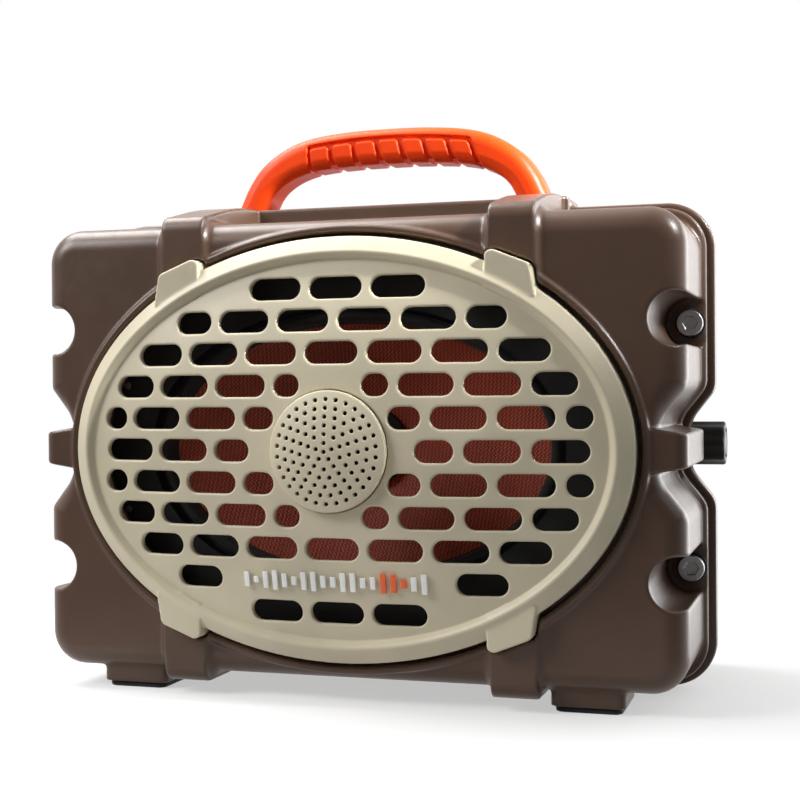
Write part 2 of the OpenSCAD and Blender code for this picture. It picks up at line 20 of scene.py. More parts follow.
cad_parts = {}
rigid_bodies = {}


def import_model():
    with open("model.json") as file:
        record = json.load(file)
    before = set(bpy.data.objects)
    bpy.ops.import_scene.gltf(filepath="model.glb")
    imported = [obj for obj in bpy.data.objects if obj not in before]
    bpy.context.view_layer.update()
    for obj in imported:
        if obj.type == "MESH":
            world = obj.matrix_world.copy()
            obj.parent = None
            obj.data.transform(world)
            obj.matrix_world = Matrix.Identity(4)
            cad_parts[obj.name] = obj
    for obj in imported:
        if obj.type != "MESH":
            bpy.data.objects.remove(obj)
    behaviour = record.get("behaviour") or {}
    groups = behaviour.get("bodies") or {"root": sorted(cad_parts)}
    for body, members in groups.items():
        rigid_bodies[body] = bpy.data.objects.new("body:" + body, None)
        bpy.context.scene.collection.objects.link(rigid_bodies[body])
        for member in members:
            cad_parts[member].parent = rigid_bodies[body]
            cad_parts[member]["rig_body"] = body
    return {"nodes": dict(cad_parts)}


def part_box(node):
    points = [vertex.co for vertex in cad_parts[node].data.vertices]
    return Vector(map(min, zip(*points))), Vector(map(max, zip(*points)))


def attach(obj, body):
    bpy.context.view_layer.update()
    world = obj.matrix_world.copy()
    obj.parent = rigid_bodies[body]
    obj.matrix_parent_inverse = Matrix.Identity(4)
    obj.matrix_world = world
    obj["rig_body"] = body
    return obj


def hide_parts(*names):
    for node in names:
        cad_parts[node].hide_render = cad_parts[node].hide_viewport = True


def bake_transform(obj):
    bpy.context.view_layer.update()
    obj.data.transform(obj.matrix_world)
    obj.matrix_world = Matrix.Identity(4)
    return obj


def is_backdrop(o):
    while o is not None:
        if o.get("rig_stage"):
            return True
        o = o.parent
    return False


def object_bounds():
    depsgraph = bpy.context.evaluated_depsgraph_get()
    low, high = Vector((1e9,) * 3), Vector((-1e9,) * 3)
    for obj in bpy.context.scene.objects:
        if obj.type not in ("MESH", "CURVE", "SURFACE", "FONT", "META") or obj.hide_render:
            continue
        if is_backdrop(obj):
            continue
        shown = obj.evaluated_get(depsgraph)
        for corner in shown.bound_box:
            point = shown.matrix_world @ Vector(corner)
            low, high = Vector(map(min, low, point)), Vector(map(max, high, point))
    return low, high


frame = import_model()
CAD_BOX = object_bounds()

MM = 0.001
LOG = logging.getLogger("speaker")
Array = np.ndarray
Colour = tuple[float, float, float]


# ---- shader building ---------------------------------------------------------------------------------


class Value:
    """A number socket in a node tree; arithmetic on it adds Math nodes."""

    def __init__(self, graph: "Graph", socket: bpy.types.NodeSocket) -> None:
        """Wraps a socket.

        Args:
            graph: The tree being built.
            socket: The output that carries the number.
        """
        self.graph = graph
        self.socket = socket

    def _math(self, operation: str, first: "Value | float", second: "Value | float") -> "Value":
        """Adds one Math node and returns its result."""
        made = self.graph.node("ShaderNodeMath", {"operation": operation}, {0: first, 1: second})
        return Value(self.graph, made.outputs[0])

    def __add__(self, other: "Value | float") -> "Value":
        """self + other."""
        return self._math("ADD", self, other)

    __radd__ = __add__

    def __sub__(self, other: "Value | float") -> "Value":
        """self - other."""
        return self._math("SUBTRACT", self, other)

    def __rsub__(self, other: "Value | float") -> "Value":
        """other - self."""
        return self._math("SUBTRACT", other, self)

    def __mul__(self, other: "Value | float") -> "Value":
        """self * other."""
        return self._math("MULTIPLY", self, other)

    __rmul__ = __mul__

    def __pow__(self, other: "Value | float") -> "Value":
        """self ** other."""
        return self._math("POWER", self, other)

    def sine(self) -> "Value":
        """The sine of self, in radians."""
        return self._math("SINE", self, 0.0)

    def at_least(self, other: "Value | float") -> "Value":
        """The larger of self and other."""
        return self._math("MAXIMUM", self, other)

    def ramp(self, low: float, high: float) -> "Value":
        """self rescaled so that low becomes 0 and high becomes 1, smoothly held between them."""
        made = self.graph.node("ShaderNodeMapRange", {"interpolation_type": "SMOOTHSTEP"},
                               {"Value": self, "From Min": low, "From Max": high})
        return Value(self.graph, made.outputs["Result"])


class Graph:
    """A node tree, and the one way in which nodes are added to it."""

    def __init__(self, owner: bpy.types.Material | bpy.types.World) -> None:
        """Starts with an empty tree.

        Args:
            owner: The material or world that the tree belongs to.
        """
        owner.use_nodes = True
        self.tree = owner.node_tree
        self.tree.nodes.clear()

    def node(self, kind: str, settings: dict | None = None, sockets: dict | None = None) -> bpy.types.Node:
        """Adds a node.

        Args:
            kind: The node's type.
            settings: Its properties, set first; "stops" holds a colour ramp's stops.
            sockets: Its inputs by name or index, each a number, a colour, a Value or a socket.

        Returns:
            The node.
        """
        made = self.tree.nodes.new(kind)
        for key, value in (settings or {}).items():
            if key == "stops":
                ramp = made.color_ramp
                while len(ramp.elements) < len(value):
                    ramp.elements.new(1.0)
                for element, (place, colour) in zip(ramp.elements, value):
                    element.position = place
                    element.color = (*colour, 1.0)
            else:
                setattr(made, key, value)
        for key, value in (sockets or {}).items():
            self.feed(made.inputs[key], value)
        return made

    def feed(self, entry: bpy.types.NodeSocket, value: object) -> None:
        """Sets or links one input socket.

        Args:
            entry: The socket.
            value: A number, a colour, a socket or a Value.
        """
        if isinstance(value, Value):
            value = value.socket
        if isinstance(value, bpy.types.NodeSocket):
            self.tree.links.new(value, entry)
        elif isinstance(value, tuple) and len(value) == 3 and entry.type == "RGBA":
            entry.default_value = (*value, 1.0)
        else:
            entry.default_value = value


class Net(Graph):
    """One material and the nodes in it."""

    def __init__(self, name: str) -> None:
        """Starts a material that holds a single Principled shader.

        Args:
            name: The material's name.
        """
        self.material = bpy.data.materials.new(name)
        super().__init__(self.material)
        self.shader = self.node("ShaderNodeBsdfPrincipled")
        self.node("ShaderNodeOutputMaterial", sockets={"Surface": self.shader.outputs[0]})

    def place(self) -> bpy.types.NodeSocket:
        """The point on the piece, in metres in the object's own frame."""
        return self.node("ShaderNodeTexCoord").outputs["Object"]

    def turned(self, angles: tuple[float, float, float],
               stretch: tuple[float, float, float] = (1.0, 1.0, 1.0)) -> bpy.types.NodeSocket:
        """The point on the piece, turned and stretched for a pattern that runs one way."""
        made = self.node("ShaderNodeMapping", None,
                         {"Vector": self.place(), "Rotation": angles, "Scale": stretch})
        return made.outputs[0]

    def noise(self, per_metre: float, detail: float = 2.0,
              where: bpy.types.NodeSocket | None = None) -> Value:
        """Soft noise from 0 to 1.

        Args:
            per_metre: How many features fit in a metre.
            detail: How many finer octaves are added.
            where: The point the noise is read at; the piece's own place if left out.

        Returns:
            The noise.
        """
        made = self.node("ShaderNodeTexNoise", None, {"Vector": where or self.place(), "Scale": per_metre,
                                                      "Detail": detail, "Roughness": 0.55})
        return Value(self, made.outputs["Fac"])

    def axis(self, letter: str) -> Value:
        """One coordinate of the point on the piece, in metres."""
        made = self.node("ShaderNodeSeparateXYZ", None, {0: self.place()})
        return Value(self, made.outputs[letter])

    def mix(self, share: Value | float, first: object, second: object) -> bpy.types.NodeSocket:
        """A colour between first, at share 0, and second, at share 1."""
        made = self.node("ShaderNodeMix", {"data_type": "RGBA"}, {0: share, 6: first, 7: second})
        return made.outputs[2]

    def bump(self, height: Value, depth: float, strength: float = 1.0,
             under: bpy.types.NodeSocket | None = None) -> bpy.types.NodeSocket:
        """A normal that stands for small relief.

        Args:
            height: The relief, from 0 to 1.
            depth: The height of 1, in metres.
            strength: How much of the relief shows.
            under: Another bump that lies beneath this one.

        Returns:
            The normal.
        """
        sockets = {"Height": height, "Distance": depth, "Strength": strength}
        if under is not None:
            sockets["Normal"] = under
        return self.node("ShaderNodeBump", None, sockets).outputs["Normal"]

    def dress(self, **values: object) -> None:
        """Sets or links the shader's sockets; a name's underscores stand for spaces."""
        for key, value in values.items():
            self.feed(self.shader.inputs[key.replace("_", " ")], value)


def linear(red: int, green: int, blue: int) -> Colour:
    """A display colour from 0 to 255 as the linear colour a shader takes."""
    shares = (red / 255, green / 255, blue / 255)
    return tuple(c / 12.92 if c < 0.0404 else ((c + 0.055) / 1.055) ** 2.4 for c in shares)


def shade(colour: Colour, times: float, plus: float = 0.0) -> Colour:
    """A colour made lighter or darker, and held below 1."""
    return tuple(min(1.0, c * times + plus) for c in colour)


# ---- finishes ----------------------------------------------------------------------------------------


@dataclass(frozen=True)
class Finish:
    """A finish: one material, made once and shared."""

    name: str
    colour: Colour
    roughness: float = 0.5

    def material(self) -> bpy.types.Material:
        """Returns the material, making it the first time.

        Returns:
            The material.
        """
        label = f"{self.name}_finish"
        made = bpy.data.materials.get(label)
        if made is None:
            net = Net(label)
            net.dress(Base_Color=self.colour, Roughness=self.roughness)
            self.detail(net)
            made = net.material
        return made

    def detail(self, net: Net) -> None:
        """Adds what sets this finish apart."""


@dataclass(frozen=True)
class MouldedPlastic(Finish):
    """Moulded plastic with a fine spark eroded grain, faint flow marks and a little dust in the grain."""

    grain: float = 0.00006
    grain_per_metre: float = 1900.0
    scuff: float = 0.06
    coat: float = 0.0
    shine: float = 0.5

    def detail(self, net: Net) -> None:
        """Grain in the bump, cloudy variation in colour and gloss.

        Args:
            net: The material being built.
        """
        cloud = net.noise(14.0, 3.0)
        speck = net.noise(self.grain_per_metre, 2.0)
        swirl = net.noise(120.0, 4.0)
        lighter = shade(self.colour, 1.12, 0.002)
        base = net.mix(cloud.ramp(0.3, 0.7), shade(self.colour, 0.92), lighter)
        base = net.mix(speck.ramp(0.35, 0.75) * 0.35, base, lighter)
        net.dress(Base_Color=base,
                  Roughness=(swirl.ramp(0.35, 0.7) * self.scuff) + (speck * 0.08) + (self.roughness - 0.07),
                  Normal=net.bump(speck, self.grain, 0.9),
                  Specular_IOR_Level=self.shine, Coat_Weight=self.coat, Coat_Roughness=0.3)


@dataclass(frozen=True)
class Rubber(Finish):
    """Matt rubber with a soft sheen and dusty mottling."""

    def detail(self, net: Net) -> None:
        """Mottled colour and a fine soft grain.

        Args:
            net: The material being built.
        """
        grain = net.noise(1400.0, 3.0)
        cloud = net.noise(60.0, 3.0)
        paler = shade(self.colour, 1.6, 0.006)
        net.dress(Base_Color=net.mix(cloud.ramp(0.4, 0.75), self.colour, paler),
                  Roughness=(cloud * 0.2) + (self.roughness - 0.1),
                  Normal=net.bump(grain, 0.00008, 0.7), Sheen_Weight=0.15, Sheen_Roughness=0.5)


@dataclass(frozen=True)
class WovenCone(Finish):
    """Woven fibre cone: two sets of glossy threads that cross on the slant."""

    threads_per_metre: float = 620.0

    def detail(self, net: Net) -> None:
        """Over and under threads in gloss and relief, and in colour as painted shade in the hollows between
        threads and a painted highlight on their crests.

        Args:
            net: The material being built.
        """
        turn = math.radians(38.0)
        waves = []
        for angle in (turn, turn + math.pi / 2):
            where = net.turned((0.0, angle, 0.0))
            along = net.node("ShaderNodeSeparateXYZ", None, {0: where})
            waves.append(Value(net, along.outputs["X"]) * (2 * math.pi * self.threads_per_metre))
        warp, weft = (w.sine() * 0.5 + 0.5 for w in waves)
        over = (((waves[0] * 0.5).sine() * (waves[1] * 0.5).sine()) * 0.5 + 0.5).ramp(0.35, 0.65)
        relief = (warp * over) + (weft * (1 - over))
        fibre = net.noise(2600.0, 2.0)
        tint = net.noise(45.0, 3.0)
        # Painted shade and highlight: the colour falls to 0.38 of itself where the relief is low, between
        # the threads, and rises to 1.35 of itself on the thread crests.
        base = net.mix(relief.ramp(0.2, 0.85), shade(self.colour, 0.38), shade(self.colour, 1.35))
        base = net.mix(tint.ramp(0.3, 0.8) * 0.4, base, self.colour)
        net.dress(Base_Color=base, Roughness=(fibre * 0.2) + (self.roughness - 0.1),
                  Normal=net.bump(relief + (fibre * 0.2), 0.0003, 0.8), Sheen_Weight=0.1)


@dataclass(frozen=True)
class Metal(Finish):
    """Turned or brushed metal with fine drawn lines and slight tarnish."""

    lines: tuple[float, float, float] = (60.0, 3000.0, 3000.0)
    cloud_tint: float = 0.85

    def detail(self, net: Net) -> None:
        """Drawn lines in gloss and relief.

        Args:
            net: The material being built.
        """
        line = net.noise(1.0, 3.0, net.turned((0.0, 0.0, 0.0), self.lines))
        cloud = net.noise(90.0, 3.0)
        worn = shade(self.colour, self.cloud_tint)
        net.dress(Base_Color=net.mix(cloud.ramp(0.35, 0.7), self.colour, worn), Metallic=1.0,
                  Roughness=(line * 0.2) + (cloud * 0.1) + (self.roughness - 0.12),
                  Normal=net.bump(line, 0.00004, 0.5))


@dataclass(frozen=True)
class CircuitBoard(Finish):
    """Green lacquered board with copper tracks under the lacquer."""

    tin: Colour = linear(196, 190, 170)

    def detail(self, net: Net) -> None:
        """Tracks as a lighter green, with tinned spots.

        Args:
            net: The material being built.
        """
        cells = net.node("ShaderNodeTexBrick", {"offset": 0.5}, {
            "Vector": net.turned((math.pi / 2, 0.0, 0.0)), "Scale": 60.0, "Mortar Size": 0.12,
            "Color1": (0.0, 0.0, 0.0), "Color2": (0.0, 0.0, 0.0), "Mortar": (1.0, 1.0, 1.0)})
        track = Value(net, cells.outputs["Fac"])
        spot = net.noise(700.0, 0.0).ramp(0.68, 0.72)
        base = net.mix(track * 0.6, self.colour, shade(self.colour, 2.0))
        net.dress(Base_Color=net.mix(spot, base, self.tin), Roughness=0.32 + spot * 0.1,
                  Normal=net.bump(track, 0.00005, 0.6), Coat_Weight=0.4, Coat_Roughness=0.1)


@dataclass(frozen=True)
class WoundWire(Finish):
    """Enamelled copper wire laid turn beside turn along Y."""

    turns_per_metre: float = 2200.0

    def detail(self, net: Net) -> None:
        """One ridge for each turn, with painted shade in the colour of the grooves between turns.

        Args:
            net: The material being built.
        """
        ridge = (net.axis("Y") * (2 * math.pi * self.turns_per_metre)).sine() * 0.5 + 0.5
        # Painted shade: the colour falls to 0.35 of itself in the groove between each pair of turns.
        net.dress(Base_Color=net.mix(ridge, shade(self.colour, 0.35), self.colour), Metallic=0.9,
                  Roughness=ridge * 0.1 + 0.28,
                  Normal=net.bump(ridge, 0.0002, 0.8))


@dataclass(frozen=True)
class CoarseCloth(Finish):
    """Resin dipped cloth with a square weave."""

    threads_per_metre: float = 1100.0

    def detail(self, net: Net) -> None:
        """Square weave in relief, and in colour as painted shade between the threads.

        Args:
            net: The material being built.
        """
        turn = 2 * math.pi * self.threads_per_metre
        warp, weft = ((net.axis(letter) * turn).sine() * 0.5 + 0.5 for letter in "XZ")
        weave = warp * weft
        # Painted shade: the colour falls to 0.45 of itself away from the thread crossings, where the weave
        # is low.
        dark = shade(self.colour, 0.45)
        net.dress(Base_Color=net.mix(weave.ramp(0.05, 0.6), dark, self.colour), Roughness=weave * 0.1 + 0.6,
                  Normal=net.bump(weave, 0.0002, 0.8))


@dataclass(frozen=True)
class ClearPlastic(Finish):
    """Clear moulded plastic of a light pipe."""

    def detail(self, net: Net) -> None:
        """Frosted faces over a clear body."""
        frost = net.noise(900.0, 2.0)
        net.dress(Roughness=frost * 0.2 + 0.1, Transmission_Weight=0.7, IOR=1.49,
                  Normal=net.bump(frost, 0.00005, 0.4))


@dataclass(frozen=True)
class PaleSweep(Finish):
    """Matt paper of the studio floor, which fades into the white surround."""

    fade_from: float = 0.16
    fade_to: float = 0.44
    solid: float = 0.5

    def detail(self, net: Net) -> None:
        """A trace of paper tooth, and the fade.

        Args:
            net: The material being built.
        """
        tooth = net.noise(500.0, 2.0)
        away = (net.axis("X") ** 2.0 + net.axis("Y") ** 2.0) ** 0.5
        net.dress(Roughness=tooth * 0.05 + 0.85, Specular_IOR_Level=0.1,
                  Alpha=(1 - away.ramp(self.fade_from, self.fade_to)) * self.solid)


class Paint(Enum):
    """The finishes of this speaker."""

    CASE = MouldedPlastic("case_brown", linear(86, 64, 51), 0.36, 0.00004, 1700.0, 0.05)
    GRILLE = MouldedPlastic("grille_sand", linear(204, 194, 168), 0.42, 0.00003, 1900.0, 0.05)
    HANDLE = MouldedPlastic("handle_orange", linear(255, 70, 8), 0.42, 0.00003, 1500.0, 0.05, shine=0.22)
    BLACK = MouldedPlastic("black_plastic", linear(24, 24, 24), 0.5, 0.00008, 1500.0, 0.08)
    BADGE_WHITE = MouldedPlastic("badge_white", linear(240, 240, 238), 0.34, 0.00002, 2500.0, 0.03)
    BADGE_ORANGE = MouldedPlastic("badge_orange", linear(236, 104, 48), 0.34, 0.00002, 2500.0, 0.03)
    RUBBER = Rubber("black_rubber", linear(26, 26, 26), 0.72)
    KEY_ORANGE = Rubber("key_orange", linear(226, 92, 40), 0.6)
    SEAL = Rubber("seal_red", linear(132, 40, 26), 0.55)
    CONE = WovenCone("cone_weave", linear(186, 74, 44), 0.5)
    CLOTH = CoarseCloth("spider_cloth", linear(186, 158, 96), 0.7)
    STEEL = Metal("screw_steel", linear(214, 214, 216), 0.28)
    BRASS = Metal("insert_brass", linear(214, 172, 92), 0.32)
    ALUMINIUM = Metal("sink_aluminium", linear(176, 178, 180), 0.4)
    BASKET = MouldedPlastic("basket_black", linear(30, 30, 32), 0.42, 0.00008, 900.0, 0.1, 0.2)
    FERRITE = MouldedPlastic("magnet_ferrite", linear(52, 54, 58), 0.6, 0.00015, 700.0, 0.15)
    BOARD = CircuitBoard("board_green", linear(20, 84, 46), 0.35)
    COPPER = WoundWire("coil_copper", linear(206, 116, 66), 0.3)
    CELL = MouldedPlastic("cell_wrap", linear(34, 96, 160), 0.28, 0.00002, 400.0, 0.05, 0.4)
    SLEEVE = MouldedPlastic("capacitor_sleeve", linear(26, 40, 66), 0.3, 0.00002, 400.0, 0.05, 0.4)
    LIGHT = ClearPlastic("light_pipe", linear(226, 236, 236), 0.15)
    SWEEP = PaleSweep("studio_sweep", linear(250, 250, 250), 0.9)

    def material(self) -> bpy.types.Material:
        """The material of this finish."""
        return self.value.material()


# ---- distance fields ---------------------------------------------------------------------------------


def rounded_box(u: Array, v: Array, half_u: Array | float, half_v: float, radius: float) -> Array:
    """Distance to a rectangle with round corners, negative inside.

    Args:
        u: How far sideways each sample is.
        v: How high each sample is.
        half_u: Half of the width.
        half_v: Half of the height.
        radius: The corners' radius.

    Returns:
        The rectangle's field.
    """
    over_u = np.abs(u) - half_u + radius
    over_v = np.abs(v) - half_v + radius
    outside = np.hypot(np.maximum(over_u, 0), np.maximum(over_v, 0))
    return outside + np.minimum(np.maximum(over_u, over_v), 0) - radius


def oval(u: Array, v: Array, a: float, b: float) -> Array:
    """Near distance to an ellipse with half axes a and b, negative inside."""
    near = np.maximum(np.hypot(u / a, v / b), 1e-4)
    slope = np.maximum(np.hypot(u / a**2, v / b**2), 1e-6)
    return near * (near - 1) / slope


def both(a: Array, b: Array, radius: float) -> Array:
    """Where two solids overlap, with the edge between them rounded to radius."""
    round_part = np.hypot(np.maximum(a + radius, 0), np.maximum(b + radius, 0))
    return np.minimum(-radius, np.maximum(a, b)) + round_part


def joined(a: Array, b: Array, radius: float) -> Array:
    """Two solids together, with a fillet of radius in the corner between them."""
    return -both(-a, -b, radius)


def less(a: Array, b: Array, radius: float) -> Array:
    """Solid a with solid b taken out, with the edge rounded to radius."""
    return both(a, -b, radius)


def between(v: Array, low: float, high: float) -> Array:
    """Distance to the slab from low to high."""
    return np.maximum(low - v, v - high)


def edge_line(u: Array, v: Array, start: tuple[float, float], end: tuple[float, float]) -> Array:
    """Distance to the line from start to end, negative on its right hand side."""
    run = np.array(end) - np.array(start)
    run = run / np.hypot(*run)
    return (v - start[1]) * run[0] - (u - start[0]) * run[1]


CORNERS = np.array([[i, j, k] for i in (0, 1) for j in (0, 1) for k in (0, 1)])
CELL_EDGES = [(a, b) for a in range(8) for b in range(a + 1, 8)
              if np.abs(CORNERS[a] - CORNERS[b]).sum() == 1]


class Mould:
    """A box of samples of a distance field, in millimetres, and the surface drawn from it."""

    def __init__(self, low: Sequence[float], high: Sequence[float], step: float) -> None:
        """Lays out the samples.

        Args:
            low: The lowest corner.
            high: The highest corner.
            step: The distance between samples.
        """
        self.low = np.array(low, float)
        self.step = step
        counts = [int(math.ceil((h - l) / step)) + 1 for l, h in zip(low, high)]
        spans = [(self.low[i] + step * np.arange(counts[i])).astype(np.float32) for i in range(3)]
        self.x = spans[0][:, None, None]
        self.y = spans[1][None, :, None]
        self.z = spans[2][None, None, :]
        self.field: Array = np.zeros(counts, np.float32)

    def fill(self, values: Array) -> "Mould":
        """Sets the field; values may still need broadcasting."""
        shape = (self.x.shape[0], self.y.shape[1], self.z.shape[2])
        self.field = np.ascontiguousarray(np.broadcast_to(values, shape), dtype=np.float32)
        return self

    def sample(self, points: Array) -> Array:
        """The field at any points, by trilinear interpolation.

        Args:
            points: The points, in millimetres.

        Returns:
            The field at each point.
        """
        place = (points - self.low) / self.step
        top = np.array(self.field.shape) - 2
        cell = np.clip(np.floor(place).astype(int), 0, top)
        part = np.clip(place - cell, 0, 1)
        total = np.zeros(len(points))
        for corner in CORNERS:
            at = cell + corner
            weight = np.prod(np.where(corner, part, 1 - part), axis=1)
            total += weight * self.field[at[:, 0], at[:, 1], at[:, 2]]
        return total

    def slope(self, points: Array) -> Array:
        """The field's unit gradient at any points, which is the surface's normal.

        Args:
            points: The points, in millimetres.

        Returns:
            A unit vector for each point.
        """
        reach = self.step * 0.6
        found = np.stack([self.sample(points + reach * axis) - self.sample(points - reach * axis)
                          for axis in np.eye(3)], axis=1)
        return found / np.maximum(np.linalg.norm(found, axis=1, keepdims=True), 1e-9)

    def surface(self) -> tuple[Array, Array]:
        """Draws the zero surface.

        Returns:
            Points in millimetres, and quads as rows of four indices.
        """
        inside = self.field < 0
        shape = np.array(self.field.shape) - 1
        count = np.zeros(shape, np.int8)
        for i, j, k in CORNERS:
            count += inside[i:i + shape[0], j:j + shape[1], k:k + shape[2]]
        active = np.argwhere((count > 0) & (count < 8))
        index = np.full(shape, -1, np.int64)
        index[tuple(active.T)] = np.arange(len(active))
        held = np.stack([self.field[tuple((active + c).T)] for c in CORNERS], axis=1)
        total = np.zeros((len(active), 3))
        hits = np.zeros(len(active))
        for a, b in CELL_EDGES:
            crosses = (held[:, a] < 0) != (held[:, b] < 0)
            gap = held[:, a] - held[:, b]
            part = np.where(crosses, held[:, a] / np.where(gap == 0, 1, gap), 0)
            total += crosses[:, None] * (CORNERS[a] + part[:, None] * (CORNERS[b] - CORNERS[a]))
            hits += crosses
        points = self.low + self.step * (active + total / hits[:, None])
        quads = []
        for axis in range(3):
            u, v = (axis + 1) % 3, (axis + 2) % 3
            start = [slice(1, -1)] * 3
            start[axis] = slice(0, -1)
            after = list(start)
            after[axis] = slice(1, None)
            here, there = inside[tuple(start)], inside[tuple(after)]
            at = np.argwhere(here != there)
            rising = here[tuple(at.T)]
            at = at + [0 if i == axis else 1 for i in range(3)]
            ring = []
            for du, dv in ((-1, -1), (0, -1), (0, 0), (-1, 0)):
                cell = at.copy()
                cell[:, u] += du
                cell[:, v] += dv
                ring.append(index[tuple(cell.T)])
            ring = np.stack(ring, axis=1)
            ring[~rising] = ring[~rising][:, ::-1]
            quads.append(ring)
        points -= self.slope(points) * np.clip(self.sample(points), -self.step, self.step)[:, None]
        return points, np.concatenate(quads)

    def piece(self, name: str, paint: Paint, most_faces: int = 0) -> bpy.types.Object:
        """Makes the surface an object.

        Args:
            name: The piece's name.
            paint: Its finish.
            most_faces: How many triangles to thin it to; 0 keeps them all.

        Returns:
            The object, with normals taken from the field.
        """
        points, quads = self.surface()
        made = mesh_piece(name, points, quads.tolist(), paint)
        triangles = 2 * len(quads)
        if most_faces and triangles > most_faces:
            thin = made.modifiers.new("thin", "DECIMATE")
            thin.ratio = most_faces / triangles
            apply_modifiers(made)
        self.smooth(made)
        return made

    def smooth(self, made: bpy.types.Object) -> None:
        """Takes the shading normals from the field.

        Args:
            made: The object.
        """
        mesh = made.data
        points = np.zeros(len(mesh.vertices) * 3)
        mesh.vertices.foreach_get("co", points)
        normals = self.slope(points.reshape(-1, 3) / MM)
        mesh.shade_smooth()
        mesh.normals_split_custom_set_from_vertices(normals.tolist())


# ---- mesh helpers ------------------------------------------------------------------------------------


def mesh_piece(name: str, points: Array, faces: list, paint: Paint) -> bpy.types.Object:
    """Makes an object from points in millimetres and faces.

    Args:
        name: The object's name.
        points: The corners, in millimetres.
        faces: The corners of each face.
        paint: The finish.

    Returns:
        The object.
    """
    mesh = bpy.data.meshes.new(name)
    mesh.from_pydata((np.asarray(points) * MM).tolist(), [], faces)
    mesh.update()
    made = bpy.data.objects.new(name, mesh)
    bpy.context.scene.collection.objects.link(made)
    mesh.materials.append(paint.material())
    return made


def apply_modifiers(made: bpy.types.Object) -> None:
    """Makes an object's modifiers part of its mesh.

    Args:
        made: The object.
    """
    graph = bpy.context.evaluated_depsgraph_get()
    mesh = bpy.data.meshes.new_from_object(made.evaluated_get(graph))
    made.modifiers.clear()
    made.data = mesh


def loft(rings: Sequence[Array], closed: bool = False, capped: bool = True) -> tuple[Array, list]:
    """Skins rings of equal length.

    Args:
        rings: Points of each ring, in order along the skin.
        closed: Whether the last ring joins the first, as round a tyre.
        capped: Whether the first and last rings are closed with a face.

    Returns:
        Points and faces.
    """
    count = len(rings[0])
    points = np.concatenate(rings)
    faces = []
    last = len(rings) if closed else len(rings) - 1
    for i in range(last):
        j = (i + 1) % len(rings)
        for k in range(count):
            m = (k + 1) % count
            faces.append((i * count + k, j * count + k, j * count + m, i * count + m))
    if capped and not closed:
        faces.append(tuple(range(count)))
        faces.append(tuple(reversed(range((len(rings) - 1) * count, len(rings) * count))))
    return points, faces


def shade_by_angle(made: bpy.types.Object, degrees: float = 35.0) -> bpy.types.Object:
    """Shades smooth except across edges sharper than degrees, and makes the normals face out.

    Args:
        made: The object.
        degrees: The angle past which an edge stays sharp.

    Returns:
        The same object.
    """
    work = bmesh.new()
    work.from_mesh(made.data)
    bmesh.ops.recalc_face_normals(work, faces=work.faces)
    for face in work.faces:
        face.smooth = True
    limit = math.radians(degrees)
    for edge in work.edges:
        if len(edge.link_faces) == 2:
            edge.smooth = edge.calc_face_angle(0.0) < limit
    work.to_mesh(made.data)
    work.free()
    return made


def turned(name: str, profile: Sequence[tuple[float, float]], axis: str, centre: Sequence[float],
           paint: Paint, sides: int = 64) -> bpy.types.Object:
    """Turns a profile of (radius, distance along the axis) into a solid.

    Args:
        name: The piece's name.
        profile: The outline from the axis at one end to the axis at the other.
        axis: "X", "Y" or "Z".
        centre: A point on the axis; distances count from it.
        paint: The finish.
        sides: How many steps go round.

    Returns:
        The object.
    """
    along = "XYZ".index(axis)
    u, v = (along + 1) % 3, (along + 2) % 3
    angles = np.linspace(0, 2 * math.pi, sides, endpoint=False)
    rings = []
    for radius, distance in profile:
        ring = np.tile(np.array(centre, float), (sides, 1))
        ring[:, along] += distance
        ring[:, u] += radius * np.cos(angles)
        ring[:, v] += radius * np.sin(angles)
        rings.append(ring)
    points, faces = loft(rings)
    made = mesh_piece(name, points, faces, paint)
    return shade_by_angle(made)


def softened(node: str, paint: Paint, width: float = 0.4, name: str | None = None) -> bpy.types.Object:
    """A copy of a CAD node with its sharp edges bevelled, which replaces the node.

    Args:
        node: The CAD node.
        paint: The finish.
        width: The bevel's width in millimetres.
        name: The piece's name; the node's own with _moulded if left out.

    Returns:
        The new piece.
    """
    source = frame["nodes"][node]
    mesh = source.data.copy()
    made = bpy.data.objects.new(name or f"{node}_moulded", mesh)
    bpy.context.scene.collection.objects.link(made)
    mesh.materials.clear()
    mesh.materials.append(paint.material())
    work = bmesh.new()
    work.from_mesh(mesh)
    bmesh.ops.remove_doubles(work, verts=work.verts, dist=1e-6)
    bmesh.ops.dissolve_limit(work, angle_limit=math.radians(1.0), verts=work.verts, edges=work.edges)
    work.to_mesh(mesh)
    work.free()
    bevel = made.modifiers.new("edge", "BEVEL")
    bevel.width = width * MM
    bevel.segments = 2
    bevel.limit_method = "ANGLE"
    bevel.angle_limit = math.radians(40)
    bevel.use_clamp_overlap = True
    apply_modifiers(made)
    shade_by_angle(made, 50.0)
    flat = made.modifiers.new("flat", "WEIGHTED_NORMAL")
    flat.keep_sharp = True
    apply_modifiers(made)
    return settle(made, source["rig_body"], node)


def settle(made: bpy.types.Object, body: str, *nodes: str) -> bpy.types.Object:
    """Makes a piece ride on a body and stand for CAD nodes, which it hides.

    Args:
        made: The piece.
        body: The body that it rides on.
        nodes: The CAD nodes that it stands for.

    Returns:
        The same piece.
    """
    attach(made, body)
    if nodes:
        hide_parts(*nodes)
    LOG.info("%s: %d faces on %s", made.name, len(made.data.polygons), body)
    return made


def corner(node: str, high: bool) -> Array:
    """The highest or lowest corner of a CAD node, in millimetres."""
    return np.array(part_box(node)[1 if high else 0]) / MM


def middle(node: str) -> Array:
    """The middle of a CAD node's box, in millimetres."""
    return (corner(node, True) + corner(node, False)) / 2


# ---- shells ------------------------------------------------------------------------------------------


